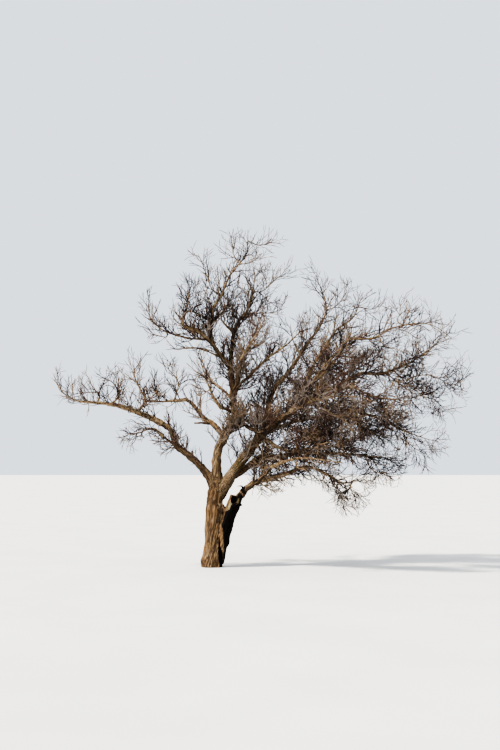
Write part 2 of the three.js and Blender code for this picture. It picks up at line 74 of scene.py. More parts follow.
# The solids' own values: how the part's source spaces the stations along its limbs
TRUNK_STEP = 100
BOUGH_STEP = 185
STEM_STEP = 195
SPUR_STEP = 90
ARC_PARTS = 200


def by_columns(columns, rows):
    """A table's rows as dictionaries, by the names of its columns."""
    return {key: dict(zip(columns.split(), row)) for key, row in rows.items()}


# Trunk: its leaning axis, half its thickness at even shares of its height, and its root flare
TRUNK_WAY = [[-4, 0, 0], [8, 0, 260], [22, 0, 480], [25, 0, 850], [34, 0, 1060], [82, 0, 1290]]
TRUNK_RADII = [142, 136, 131, 130, 131, 129, 122, 113, 82]
FLARE = {"out": 13, "lobe": 9, "lobes": 5, "turn": 2.5, "height": 130}

# Prong: the split right-hand stem that carries the low limb
PRONG = {
    "girth": [200, 194],
    "way": [[66, -30, 60], [130, -40, 350], [192, -50, 550], [246, -58, 751], [355, -62, 1035]],
}

# Its rotten top, the crack down to the ground, and the burl in the crotch
HOLLOW = {"middle": [324, -152, 1004], "half": [47, 78, 72], "tilt": 0.35}
CRACK = {"girth": [46, 10], "way": [[152, -108, -30], [116, -129, 190], [84, -127, 410]]}
BURL = {"middle": [120, -92, 875], "half": [62, 54, 84]}

# Boughs: what each grows on, at which share of its length, girth at foot and tip, and way
BOUGHS = by_columns("on at girth way", {
    "left_low": ["trunk", 0.86, [128, 84], [
        [-105, -10, 1395], [-390, -60, 1672], [-525, -90, 1770], [-645, -130, 2040],
        [-780, -160, 2130],
    ]],
    "left_under": ["left_low", 0.52, [50, 36], [[-660, -150, 1862], [-750, -190, 1935]]],
    "leader_low": ["trunk", 0.97, [146, 112], [
        [52, 0, 1500], [75, 5, 1710], [135, 10, 1860], [345, 20, 2205],
    ]],
    "left_high": ["leader_low", 0.68, [90, 52], [
        [-15, 60, 2130], [-135, 110, 2205], [-308, 180, 2415], [-405, 220, 2490],
    ]],
    "cross": ["leader_low", 0.93, [60, 46], [
        [435, -120, 2138], [540, -220, 2055], [675, -290, 1988], [825, -340, 1875],
    ]],
    "leader_high": ["leader_low", 1, [108, 84], [[315, 30, 2370], [296, 45, 2620], [255, 70, 3015]]],
    "mid_left": ["leader_high", 0.1, [50, 40], [[195, -200, 2340], [114, -330, 2358]]],
    "back_left": ["leader_high", 0.3, [48, 40], [[200, 230, 2580], [105, 480, 2660]]],
    "mid_right": ["leader_high", 0.4, [56, 42], [[420, -20, 2730], [546, -60, 2835]]],
    "front_top": ["leader_high", 0.5, [48, 38], [[375, -90, 2760], [420, -250, 3090]]],
    "back_top": ["leader_high", 0.8, [46, 36], [[330, 220, 2960], [420, 400, 3060]]],
    "top_left": ["leader_high", 0.93, [76, 58], [
        [90, -60, 3180], [-30, -110, 3345], [-135, -150, 3442],
    ]],
    "crown": ["leader_high", 1, [72, 52], [[278, 110, 3180], [285, 150, 3330], [308, 190, 3510]]],
    "thin_low": ["top_left", 0.3, [32, 26], [[-82, -120, 3214]]],
    "top": ["top_left", 0.66, [50, 40], [[-30, -70, 3480], [-8, -40, 3720]]],
    "crown_left": ["top_left", 0.88, [36, 30], [[-240, -90, 3400], [-350, -70, 3405]]],
    "right_main": ["trunk", 0.76, [172, 136], [
        [165, -30, 1170], [240, -40, 1298], [420, -60, 1560], [615, -80, 1815], [698, -80, 1928],
    ]],
    "right_low": ["right_main", 0.37, [110, 80], [
        [405, 110, 1395], [503, 200, 1463], [690, 320, 1610], [825, 400, 1625],
    ]],
    "right_second": ["right_main", 1, [130, 98], [
        [810, -70, 2040], [945, -60, 2138], [1200, -20, 2333],
    ]],
    "arch": ["right_second", 0.12, [84, 60], [[810, 120, 2205], [834, 200, 2430], [960, 270, 2715]]],
    "back": ["right_main", 0.9, [68, 52], [[765, 180, 1965], [915, 420, 2040]]],
    "front": ["right_second", 0.5, [64, 50], [[1065, -260, 2220], [1185, -470, 2310]]],
    "back_right": ["right_second", 0.68, [58, 46], [[1245, 190, 2385], [1380, 400, 2505]]],
    "upper_right": ["right_second", 0.8, [62, 46], [
        [1305, 80, 2505], [1440, 140, 2835], [1545, 170, 3075],
    ]],
    "right_upper": ["right_second", 0.93, [60, 46], [
        [1350, -80, 2535], [1485, -140, 2715], [1605, -180, 2828],
    ]],
    "right_far": ["right_second", 1, [88, 62], [[1350, 0, 2422], [1658, 10, 2595]]],
    "right_lower": ["right_far", 0.3, [56, 42], [[1500, 180, 2415], [1650, 330, 2385]]],
    "front_right": ["right_far", 0.6, [50, 40], [[1635, -190, 2550], [1800, -380, 2595]]],
    "front_upper": ["right_upper", 0.4, [50, 40], [[1440, -330, 2700], [1530, -500, 2790]]],
    "low_limb": ["prong", 0.88, [112, 80], [
        [440, -60, 1085], [534, -90, 1179], [645, -130, 1248], [750, -170, 1302],
    ]],
    "low_front": ["low_limb", 0.84, [54, 44], [[800, -330, 1388], [885, -470, 1478]]],
})

# Dead spurs fused on the limbs: a broken stub, a claw-like snag and a spike
SPURS = [
    {"girth": [52, 24], "way": [[-20, 70, 2126], [-160, 62, 2132], [-285, 50, 2128]]},
    {"girth": [44, 12], "way": [[462, -80, 1110], [425, -110, 1205], [352, -118, 1190]]},
    {"girth": [30, 6], "way": [[360, -70, 905], [440, -80, 912]]},
]

# Twig masses: the bough each one grows from, its stem's girth, how far it reaches from its ways,
# how strongly its shoots turn up, how crowded its finer twigs stand beside the rule's own spacing, and
# the stem's way and then its side limbs' ways
MASSES = by_columns("on girth reach lift crowd ways", {
    "left_far": ["left_low", 80, 380, 0.7, 1.1, [
        [[-935, -190, 2212], [-1222, -240, 2325], [-1550, -300, 2415], [-2160, -370, 2512],
         [-2415, -400, 2812]],
        [[-1020, -150, 2475], [-1165, -120, 2780], [-1200, -90, 3075]],
        [[-1410, -350, 2560], [-1538, -400, 2760], [-1700, -420, 2775]],
        [[-1710, -280, 2575], [-2100, -320, 2575]],
    ]],
    "left_under": ["left_under", 36, 240, -0.1, 2, [
        [[-885, -230, 2047], [-1125, -280, 1980], [-1245, -290, 1965], [-1350, -300, 2033]],
        [[-1170, -270, 1860], [-1245, -260, 1785]],
    ]],
    "left_high": ["left_high", 50, 360, 0.6, 1.1, [
        [[-546, 260, 2468], [-840, 330, 2452], [-1005, 360, 2460], [-1110, 380, 2535]],
        [[-525, 230, 2730], [-645, 200, 2910], [-773, 180, 3045]],
    ]],
    "mid_left": ["mid_left", 40, 380, 0.7, 0.7, [
        [[22, -500, 2496], [-69, -680, 2700], [-240, -940, 3225]],
        [[-210, -520, 2540], [-276, -560, 2610], [-330, -600, 2760]],
    ]],
    "back_left": ["back_left", 40, 450, 0.6, 0.25, [
        [[-30, 780, 2780], [-180, 1260, 3120], [-230, 1400, 3350]],
        [[-250, 700, 2900], [-420, 760, 3050]],
    ]],
    "top": ["top", 40, 320, 0.5, 1.15, [
        [[-8, -30, 3870], [120, -20, 4065], [252, -10, 4380], [495, 10, 4702], [525, 20, 5100]],
        [[300, 60, 4700], [278, 90, 4890], [225, 110, 5090]],
        [[660, 0, 4845], [815, -20, 4860], [960, -40, 4942]],
        [[495, -90, 4555], [640, -140, 4620], [750, -170, 4715]],
        [[-5, -110, 4140], [-110, -150, 4395], [-243, -180, 4728]],
    ]],
    "elbow": ["top_left", 56, 320, 0.6, 1.65, [
        [[-225, -180, 3525], [-375, -220, 3562], [-471, -250, 3645], [-420, -270, 3795],
         [-350, -290, 4192]],
        [[-345, -150, 3840], [-400, -120, 4000]],
    ]],
    "crown_left": ["crown_left", 30, 320, 0.7, 1.2, [
        [[-555, -60, 3456], [-780, -60, 3549], [-953, -70, 3735], [-993, -80, 3945]],
        [[-700, -20, 3430], [-915, 0, 3465], [-1005, 10, 3382]],
    ]],
    "thin_low": ["thin_low", 26, 170, 0.5, 0.8, [
        [[-216, -160, 3255], [-420, -220, 3262], [-550, -260, 3240], [-720, -300, 3390]],
    ]],
    "crown": ["crown", 50, 360, 0.6, 1.4, [
        [[390, 220, 3675], [495, 250, 3795], [608, 290, 4155], [623, 300, 4485]],
        [[720, 330, 4125], [990, 380, 4340], [1125, 400, 4418]],
        [[720, 260, 3795], [922, 240, 3810], [1095, 230, 3878]],
        [[146, 150, 3660], [120, 130, 3735], [240, 110, 4005]],
    ]],
    "front_top": ["front_top", 38, 400, 0.6, 0.3, [
        [[510, -420, 3255], [735, -760, 3615], [795, -880, 3780]],
        [[640, -380, 3300], [820, -400, 3420]],
    ]],
    "back_top": ["back_top", 36, 420, 0.6, 1.5, [
        [[520, 620, 3210], [660, 1050, 3560], [690, 1180, 3750]],
        [[680, 640, 3300], [860, 700, 3440]],
    ]],
    "mid_right": ["mid_right", 42, 340, 0.7, 1.2, [
        [[716, -100, 3015], [938, -160, 3195], [1110, -200, 3315], [1395, -270, 3600],
         [1490, -290, 3745]],
    ]],
    "tall": ["arch", 58, 380, 0.4, 1.25, [
        [[1065, 290, 2805], [1320, 310, 3180], [1695, 340, 3795], [1635, 360, 4170],
         [1500, 360, 4372]],
        [[1830, 330, 3885], [1958, 320, 4020], [2040, 310, 4178]],
        [[1230, 420, 2715], [1350, 520, 2600]],
        [[1240, 400, 3290], [1180, 440, 3480], [1165, 460, 3640]],
    ]],
    "upper_right": ["upper_right", 46, 370, 0.5, 1.1, [
        [[1680, 190, 3255], [1845, 210, 3525], [2115, 230, 3728], [2250, 250, 4058]],
        [[2415, 260, 3860], [2540, 270, 3908], [2640, 280, 3855]],
        [[1830, 260, 3640], [1905, 300, 3860]],
    ]],
    "right_upper": ["right_upper", 46, 380, 0.45, 1.4, [
        [[1905, -280, 3165], [2040, -320, 3390], [2410, -360, 3412], [2715, -390, 3570],
         [3270, -420, 3622], [3615, -440, 3405]],
        [[2575, -480, 3306], [2775, -560, 3240], [2955, -620, 3165]],
        [[2775, -330, 3690], [2895, -290, 3825], [3008, -270, 3840]],
    ]],
    "right_mid": ["right_far", 60, 380, 0.2, 1.75, [
        [[1875, 10, 2685], [2205, 0, 2872], [2505, -10, 2872], [3060, -40, 3098],
         [3435, -60, 3390]],
        [[2700, 60, 2805], [3015, 130, 2575], [3345, 170, 2468], [3495, 180, 2303]],
        [[2964, -90, 2805], [3270, -130, 2850], [3630, -170, 2705], [3840, -190, 2940]],
        [[3740, -170, 2640], [3860, -160, 2590]],
    ]],
    "right_lower": ["right_lower", 42, 400, -0.1, 1.9, [
        [[1980, 420, 2340], [2355, 480, 2250], [2985, 530, 1965], [3405, 550, 1838]],
        [[2865, 620, 1920], [3000, 660, 1770], [3225, 700, 1643]],
        [[2100, 600, 2150], [2400, 720, 2010], [2700, 800, 1880]],
    ]],
    "low_right": ["right_low", 66, 340, -0.1, 1.7, [
        [[1050, 470, 1635], [1298, 540, 1680], [2055, 690, 1665], [2445, 740, 1626],
         [2835, 780, 1598]],
        [[2360, 700, 1450], [2550, 720, 1380], [2775, 740, 1410]],
    ]],
    "lowest": ["low_limb", 72, 260, -0.25, 2.2, [
        [[930, -230, 1320], [1425, -400, 1470], [1656, -470, 1386], [1920, -540, 1238],
         [2295, -590, 1325]],
        [[1830, -500, 1140], [1920, -510, 1020], [2031, -520, 903]],
        [[2055, -620, 1155], [2220, -660, 1011]],
    ]],
    "low_front": ["low_front", 44, 360, -0.1, 0.6, [
        [[1080, -680, 1560], [1350, -900, 1605], [1980, -1200, 1530]],
        [[1250, -1050, 1480], [1380, -1250, 1430]],
    ]],
    "cross": ["cross", 46, 360, 0, 2.9, [
        [[945, -420, 1785], [1155, -560, 1710], [1455, -760, 1755], [2130, -1100, 1800]],
        [[830, -385, 1700]],
        [[1250, -640, 1860], [1500, -740, 1980], [1750, -820, 2050]],
    ]],
    "front": ["front", 50, 460, 0.1, 1.7, [
        [[1380, -740, 2415], [1635, -1010, 2505], [2235, -1500, 2535]],
        [[1300, -1000, 2560], [1380, -1300, 2700]],
        [[1700, -1180, 2330], [1930, -1330, 2200], [2130, -1430, 2060]],
    ]],
    "back": ["back", 52, 460, 0.1, 2.1, [
        [[1155, 720, 2130], [1485, 1020, 2205], [2205, 1500, 2235]],
        [[1130, 1000, 2240], [1180, 1320, 2420]],
        [[1500, 1120, 2080], [1800, 1280, 1960], [2040, 1370, 1850]],
    ]],
    "back_right": ["back_right", 46, 440, 0.3, 2, [
        [[1605, 650, 2655], [1905, 880, 2835], [2505, 1240, 3105]],
        [[1650, 1000, 2960], [1720, 1240, 3200]],
    ]],
    "front_right": ["front_right", 40, 400, 0, 1.7, [
        [[2040, -560, 2685], [2392, -760, 2535], [2805, -950, 2475], [2985, -1020, 2415]],
        [[2250, -600, 2480], [2470, -640, 2310], [2640, -680, 2130]],
    ]],
    "front_upper": ["front_upper", 40, 440, 0.4, 1.4, [
        [[1660, -720, 2960], [1800, -900, 3130], [1960, -1060, 3300]],
    ]],
})

# How far a limb's foot is sunk in the tip it goes on from
SUNK_IN_TIP = 0.33

# Side limbs: how a way tapers, and how thick a side limb's foot is beside its host
WAY_TAPER = 0.8
SIDE_OF_HOST = 1.3

# Shoots: the rule by which a mass branches from its ways
SEED = 4021
GOLDEN_TURN = 2.399963
SHOOT = {
    "spacing": 92, "first": 50, "jitter": 0.6, "girth": 15, "of_host": 1.1, "tip": 3,
    "shortest": 0.5, "spread": 0.75, "fade": 0.45, "lean": [0.7, 1.15],
}
SHOOT_TESTS = [0.25, 0.5, 0.75, 1]
SPACE_MARGIN = 0.05
LIMB_MARGIN = 14
GROUND_CLEAR = 150

# The source's dice: their word, step, inner shifts and factor, and how one seed makes the next
WORD = 0xFFFFFFFF
DICE_STEP = 0x6D2B79F5
DICE_SHIFTS = (15, 7, 14)
DICE_FACTOR = 61
SEED_FACTOR = 1664525
SEED_STEP = 1013904223

# Twigs on the boughs themselves, by the same rule: the mass each bough's twigs are joined with, the
# share of its length where they begin, their reach and lift, and how crowded they stand
BOUGH_TWIGS = by_columns("with from reach lift crowd", {
    "left_low": ["left_far", 0.2, 360, 1.2, 1.3],
    "left_under": ["left_under", 0.15, 300, 0.2, 2.6],
    "leader_low": ["left_high", 0.45, 560, 0.9, 2.6],
    "left_high": ["left_high", 0.25, 360, 1, 1.4],
    "leader_high": ["crown", 0.02, 520, 0.5, 2.2],
    "mid_left": ["mid_left", 0.15, 440, 1, 1.8],
    "back_left": ["back_left", 0.2, 360, 1, 0.2],
    "mid_right": ["mid_right", 0.1, 560, 0.8, 2.7],
    "front_top": ["front_top", 0.2, 400, 1, 0.35],
    "back_top": ["back_top", 0.2, 380, 1, 2.2],
    "top_left": ["elbow", 0.12, 440, 1, 2],
    "crown": ["crown", 0.05, 500, 0.8, 1.9],
    "top": ["top", 0.05, 500, 0.9, 2.5],
    "crown_left": ["crown_left", 0.1, 340, 1, 3.2],
    "right_main": ["front", 0.33, 560, 0.9, 1.7],
    "right_low": ["low_right", 0.42, 460, 0.4, 2.9],
    "right_second": ["front", 0.02, 560, 0.7, 1.1],
    "arch": ["tall", 0.05, 560, 0.8, 1.9],
    "cross": ["cross", 0.05, 540, 0.9, 3.4],
    "back": ["back", 0.2, 480, 0.5, 1.5],
    "front": ["front", 0.2, 480, 0.4, 0.7],
    "back_right": ["back_right", 0.2, 440, 0.5, 0.9],
    "upper_right": ["upper_right", 0.05, 540, 0.8, 1.6],
    "right_upper": ["right_upper", 0.35, 600, 0.9, 1.3],
    "right_far": ["right_mid", 0.3, 560, 1.1, 1.6],
    "right_lower": ["right_lower", 0.1, 440, 0.1, 2.6],
    "front_right": ["front_right", 0.2, 400, 0.3, 0.35],
    "front_upper": ["front_upper", 0.2, 400, 0.7, 0.4],
    "low_limb": ["lowest", 0.45, 400, 0.4, 3.6],
    "low_front": ["low_front", 0.2, 320, 0.1, 1],
})

# Where the crown is thicker and where it is more open than its masses' own crowds make it: a place
# on the drawn plane, how wide it is, and there the crowd of added twigs or the share left out
THICKETS = by_columns("at wide crowd", {
    "under_the_tall_limb": [[2080, 3210], 180, 2.8],
    "below_the_tall_limb": [[1860, 3440], 130, 1],
    "left_of_the_tall_limb": [[1400, 3180], 120, 0.7],
    "right_of_the_tall_limb": [[2330, 3230], 140, 2],
    "beside_the_left_bough": [[-165, 2080], 150, 1.6],
    "out_on_the_left_bough": [[-1500, 2280], 140, 2],
    "over_the_left_bough": [[-840, 2550], 130, 1.3],
    "in_the_left": [[-170, 2740], 120, 0.8],
    "at_the_leader": [[620, 2500], 120, 1],
    "beside_the_leader": [[940, 3090], 140, 1.6],
    "at_the_fork": [[290, 1880], 130, 2],
    "over_the_arch": [[930, 2830], 120, 0.5],
    "in_the_arch": [[1200, 2690], 160, 0.9],
    "in_the_crown": [[290, 4000], 130, 2.2],
    "left_of_the_crown": [[-165, 4050], 120, 1],
    "over_the_leader": [[280, 3450], 130, 1.3],
    "far_right_low": [[2740, 2140], 130, 1.2],
    "far_right": [[3100, 2530], 150, 1.2],
    "middle_of_the_far_right": [[2950, 2740], 130, 1],
    "low_on_the_far_right": [[3180, 2380], 160, 1.6],
    "high_on_the_far_right": [[2950, 3400], 150, 1.2],
    "right_of_the_middle": [[2540, 2330], 130, 1],
    "under_the_right": [[2280, 1850], 220, 1],
})
CLEARINGS = by_columns("at wide share", {
    "sky_over_the_right": [[2530, 3680], 150, 0.7],
    "sky_beside_the_leader": [[1190, 3450], 140, 0.55],
    "sky_at_the_far_right": [[3330, 2900], 180, 0.5],
    "sky_under_the_far_right": [[3100, 1880], 170, 0.5],
    "sky_in_the_crown": [[70, 3450], 120, 0.3],
    "sky_at_the_elbow": [[-390, 3900], 120, 0.25],
    "sky_left_of_the_leader": [[270, 2560], 110, 0.45],
})
CLEARING_SEED = 77

# Finer wood, which the solids leave out: spacing along its host, length or share of its mass's
# reach, and how it leaves the host. Branchlets and long twigs stand on ways and boughs, short
# twigs on shoots and branchlets, and the last ones on long and short twigs.
FINER = {
    "branchlet": {
        "spacing": 165, "first": 60, "girth": 23, "tip": 9, "of_reach": [0.7, 1.5], "fade": 0.3,
        "lean": [0.45, 1.2], "segments": 8, "sides": 4, "wander": 0.17, "curl": 0.2,
    },
    "long": {
        "spacing": 120, "first": 40, "girth": 16.5, "tip": 8.4, "length": [200, 540], "fade": 0.3,
        "lean": [0.5, 1.35], "segments": 7, "sides": 3, "wander": 0.21, "curl": 0.25,
    },
    "short": {
        "spacing": 96, "first": 30, "girth": 14.5, "tip": 8.2, "length": [140, 380], "fade": 0.35,
        "lean": [0.4, 1.1], "segments": 5, "sides": 3, "wander": 0.22, "curl": 0.15,
    },
    "last": {
        "spacing": 110, "first": 40, "girth": 12, "tip": 7.4, "length": [80, 240], "fade": 0.3,
        "lean": [0.45, 1.15], "segments": 3, "sides": 3, "wander": 0.16, "curl": 0.1,
    },
}
FINER_JITTER = 0.6
FINER_LAST_FOOT = 0.98
FINER_THINNEST = 0.75
FINER_OF_HOST = 0.85
FINER_TESTS = [0.6, 1]
FINER_LIFT = 0.7
HOST_STATIONS = 18
SHOOT_LOOK = {"segments": 6, "sides": 5, "wander": 0.13, "curl": 0, "girth": 1.15}
WAY_LOOK = {
    "step": 42, "sides": 9, "girth": 1.32, "bend": 7, "bend_size": 150, "straight_ends": 120,
    "knuckle": 0.16, "knuckle_size": 45, "collar": 0.3, "collar_fade": 2.5,
}
NOISE_SPREAD = 90

# Pieces that the twigs are joined into, by the masses that each one replaces
CROWN_PIECES = {
    "twigs_on_the_left": ["left_far", "left_under", "left_high", "mid_left", "back_left"],
    "twigs_at_the_top": [
        "top", "elbow", "crown_left", "thin_low", "crown", "front_top", "back_top", "mid_right",
    ],
    "twigs_high_on_the_right": ["tall", "upper_right", "right_upper", "front_upper"],
    "twigs_far_on_the_right": ["right_mid", "right_lower", "front_right", "back_right"],
    "twigs_low_on_the_right": ["low_right", "lowest", "low_front", "cross"],
    "twigs_in_front_and_behind": ["front", "back"],
}

# Bark: the voxels it is fused in, how smoothly boughs grow together, its relief, and what of both
# there is in the carved hollow
BARK = {
    "voxel": 8, "trunk_sides": 36, "bough_sides": 20, "fine_step": 45, "foot_below": 60,
    "collar": 0.25, "collar_fade": 2.2, "join_reach": 22, "join_rounds": 8, "join_step": 0.6,
    "ball": (24, 16), "crack_sides": 10,
}
RELIEF = {
    "ridge": [13, 22], "ridge_of_radius": 0.18, "ridge_middle": 0.6, "stretch": 0.07, "limb_gap": 611.0,
    "meander": 0.35, "meander_size": 70, "depth_of_radius": 0.06, "deepest": 8, "rough": 0.4,
    "rough_size": 14, "lump": 0.13, "bough_lump": 0.24, "lump_size": 1.7, "flute": 9, "flutes": 2.4,
    "flute_stretch": 1.9, "twist": 0.9, "furrow_width": 0.55, "seam_fade": 10, "seam_least": 0.35,
}
NOISE_OFFSETS = {"lump": 3.0, "burnt": 5.0, "rough": 7.0, "flute": 11.0}
KNOTS = {
    "spacing": 120, "out": 0.38, "size": 0.5, "places": (0.3, 0.9), "sizes": (0.7, 1.2), "heights": (0.4, 1),
}
CARVED = {"reach": 1.1, "join": 0.1, "relief": 0.3}
# A pit in the bark: the size of the painted shade in it, and how deep it is sunk
PIT = {"middle": [-14, -104, 1338], "size": 22, "deep": 24}
JOIN_FROM = 150
# The crack: how deep and wide it is cut, how far painted shade reaches out of it, and the heights below which
# it reaches out fully and above which it stays deep inside
CRACK_DEPTH = {"deep": 30, "wide": 12, "dark": 7, "open_below": 200, "closed_above": 430}
# Painted shade fills the carved hollow out to this multiple of its size
HOLLOW_SHADE_EDGE = 1.05
MASK_WIDTH = 60

# The last of the limbs that make up the trunk: the trunk itself and its prong come first
LAST_STEM = 1

# The least half thickness of a dead spur here, where the source's own may be less
SPUR_LEAST = 15

# Where the bark changes: the burnt side of the prong, darkened further by painted shade on its side away
# from the sun, begins this far across at each height, and the torn pale wood stands at its top; the snag
# takes the same burnt colour and painted shade
BURNT_AND_SHADED_FROM = [
    [-60, 140], [49, 150], [100, 172], [270, 180], [343, 180], [454, 173], [564, 172], [608, 152],
    [734, 180], [822, 205], [837, 246], [930, 300], [969, 345], [1090, 392],
]
BURNT_AND_SHADED_BEHIND = 20
BURNT_AND_SHADED_TOP = 1035
BURNT_AND_SHADED_RAGGEDNESS = 0.35
BURNT_AND_SHADED_WAVES = {"size": 150, "out": 60}
BURNT_AND_SHADED_SPUR = {"which": 1, "reach": 10}
# Painted shade on the limbs' undersides: how far a face turns down where it starts, where it is full, and the
# most of it
PAINTED_UNDERSIDE_SHADE = {"from": 0.05, "full": 0.75, "most": 0.75}
PALE_WOOD = [
    {"middle": [250, -160, 905], "half": [24, 70, 78], "tilt": 0.35, "torn": 1},
    {"middle": [378, -150, 975], "half": [32, 60, 76], "tilt": 0.3, "torn": 0.68},
]
WORN_KNOB = {"middle": [124, -130, 912], "half": [52, 60, 44]}
LICHEN_MOST = 0.8
LICHEN_FADE = 2
LICHEN_ON = {"right_main": [0.35, 0.75], "right_low": [0.12, 0.5], "leader_low": [0, 0.12]}

# Colours as they look, each from 0 to 1, the share that each twig colour has, and how many kinds of
# spray they are dealt to; a limb counts as a spray of its own
COLOURS = {
    "plate": (0.55, 0.46, 0.35), "warm_plate": (0.55, 0.43, 0.30), "furrow": (0.21, 0.155, 0.115),
    "bough_plate": (0.57, 0.49, 0.385), "bough_warm": (0.55, 0.445, 0.325),
    "bough_furrow": (0.2, 0.155, 0.12), "grey_plate": (0.54, 0.47, 0.385), "lichen": (0.43, 0.39, 0.16),
    # the burnt and scorched colours are char with painted shade on it; the underside and hollow colours are
    # painted shade
    "burnt": (0.022, 0.018, 0.017), "scorched_and_shade": (0.09, 0.06, 0.045), "pale_wood": (0.60, 0.58, 0.49),
    "wood_grain": (0.29, 0.25, 0.18), "old_wood": (0.42, 0.37, 0.27), "painted_underside_shade": (0.17, 0.135, 0.105),
    "hollow": (0.03, 0.025, 0.02), "worn": (0.58, 0.50, 0.40),
}
TWIG_COLOURS = {
    "dark": {"near": (0.23, 0.19, 0.17), "far": (0.16, 0.13, 0.115), "share": 0.36},
    "red": {"near": (0.37, 0.285, 0.245), "far": (0.28, 0.21, 0.18), "share": 0.24},
    "grey": {"near": (0.54, 0.49, 0.455), "far": (0.39, 0.35, 0.32), "share": 0.24},
    "tan": {"near": (0.56, 0.475, 0.385), "far": (0.42, 0.35, 0.28), "share": 0.16},
}
LIMB_COLOURS = {"near": (0.56, 0.475, 0.365), "far": (0.30, 0.245, 0.19)}
DEALS = 9973
LIMB_SPRAY = -1

# Finishes: their noises by scale, detail and roughness, and the steps that make masks of them
NOISES = {
    "patches": (6, 5, 0.55), "flecks": (75, 5, 0.65), "fine": (110, 6, 0.7), "wood": (90, 6, 0.65),
    "along_twig": (30, 4, 0.55), "twig_skin": (400, 3, 0.55), "floor": (0.7, 4, 0.55),
}
WOOD_STRETCH = (1, 1, 0.2)
STEPS = {
    "patches": (0.36, 0.64), "flecks": (0.52, 0.72), "furrows": (0.36, 0.56), "relief": (-0.25, 0.8),
    "wood_grain": (0.42, 0.58), "torn": (0.67, 0.72), "scorched_and_shade": (0.38, 0.7), "along_twig": (0.35, 0.65),
    "floor": (0.3, 0.7),
}

# Where the bark changes, noise of a scale breaks up a mask's edge by a swing, moved in by a shift.
# EDGE_NOISE is that noise's detail and roughness.
EDGES = by_columns("mask scale swing shift", {
    "worn": ["worn", 30, 0.5, 0],
    "lichen": ["lichen", 55, 1.1, 0.33],
    "scorched_and_shade": ["burnt", 40, 0.5, -0.2],
    "burnt": ["burnt", 40, 0.5, 0],
    "torn": ["pale", 45, 0.6, 0],
    "hollow": ["dark", 40, 0.2, 0],
})
EDGE_NOISE = (6, 0.7)
EDGE_WIDTH = 0.04

# Surfaces: how shiny all of them are, and each one's roughness and the distance and strength of its bumps
SHEEN = 0.15
BARK_SURFACE = {"rough": 0.93, "bump": (0.006, 0.9)}
TWIG_SURFACE = {"rough": 0.8, "bump": (0.001, 0.4)}

# The stage: a pale floor under a pale sky, and a soft sun
STAGE = {
    "look": "AgX - High Contrast",
    "floor": (0.86, 0.85, 0.83), "floor_shade": 0.97, "floor_rough": 0.95, "floor_size": 400,
    "sky": (0.86, 0.89, 0.93), "sky_strength": 1.4, "sun": 6.5, "sun_turn_deg": 112,
    "sun_height_deg": 50, "sun_width_deg": 4, "sun_colour": (1, 0.95, 0.87),
}


def unit(rows):
    """Each row at length 1."""
    return rows / np.maximum(np.linalg.norm(rows, axis=-1, keepdims=True), LEAST_LENGTH)


def across_of(directions):
    """For each direction, one across it."""
    return unit(np.cross(np.where(np.abs(directions[:, 2:]) > STEEP, RIGHT, UP), directions))


def turned(first, second, angle):
    """A direction, turned by an angle towards a second one across it."""
    return first * np.cos(angle) + second * np.sin(angle)


def dice_of(seed):
    """The source's repeatable dice."""
    state = seed & WORD
    first, second, third = DICE_SHIFTS

    def roll():
        nonlocal state
        state = (state + DICE_STEP) & WORD
        t = ((state ^ (state >> first)) * (state | 1)) & WORD
        t ^= (t + (((t ^ (t >> second)) * (t | DICE_FACTOR)) & WORD)) & WORD
        return (t ^ (t >> third)) / (WORD + 1)

    return roll


def seed_under(seed, n):
    """The seed of the n-th thing under a seed."""
    return (seed * SEED_FACTOR + (n + 1) * SEED_STEP) & WORD


def place(drawn):
    """From a drawn point, as the standing eye sees it, to its real place."""
    across, depth, up = drawn
    spread = 1 + depth / EYE["back"]
    return [EYE["across"] + (across - EYE["across"]) * spread, depth, EYE["up"] + (up - EYE["up"]) * spread]


def places_of(way):
    """The real places of a drawn way."""
    return [place(point) for point in way]


def seen_at(points):
    """Where real places look to be on the drawn plane, from the standing eye."""
    eye = np.array([EYE["across"], EYE["up"]])
    return eye + (points[:, [0, 2]] - eye) / (1 + points[:, 1:2] / EYE["back"])


def seen_in(spot, points):
    """Which real places are seen inside a round spot of the drawn plane."""
    return np.linalg.norm(seen_at(points) - spot["at"], axis=1) < spot["wide"]


def runs_of(spots):
    """How far along a row of places each one is."""
    return np.concatenate([[0], np.cumsum(np.linalg.norm(np.diff(spots, axis=0), axis=1))])


def curve_at(points, shares):
    """Places at shares of the centripetal curve through some points."""
    points = np.asarray(points, float)
    last = len(points) - 1
    held = np.vstack([2 * points[0] - points[1], points, 2 * points[-1] - points[-2]])
    t = np.asarray(shares) * last
    i = np.minimum(t.astype(int), last - 1)
    w = (t - i)[:, None]
    p0, p1, p2, p3 = (held[i + k] for k in range(4))
    d0, d1, d2 = (np.sum((b - a) ** 2, axis=1)[:, None] ** 0.25 for a, b in ((p0, p1), (p1, p2), (p2, p3)))
    t1 = ((p1 - p0) / d0 - (p2 - p0) / (d0 + d1) + (p2 - p1) / d1) * d1
    t2 = ((p2 - p1) / d1 - (p3 - p1) / (d1 + d2) + (p3 - p2) / d2) * d1
    return p1 + t1 * w + (3 * p2 - 3 * p1 - 2 * t1 - t2) * w ** 2 + (2 * p1 - 2 * p2 + t1 + t2) * w ** 3


def spaced_places(points, step):
    """Places evenly along that curve, about a step apart."""
    shares = np.linspace(0, 1, ARC_PARTS + 1)
    table = curve_at(points, shares)
    lengths = runs_of(table)
    count = max(1, int(lengths[-1] / step + 0.5))
    return curve_at(points, np.interp(np.linspace(0, lengths[-1], count + 1), lengths, shares))


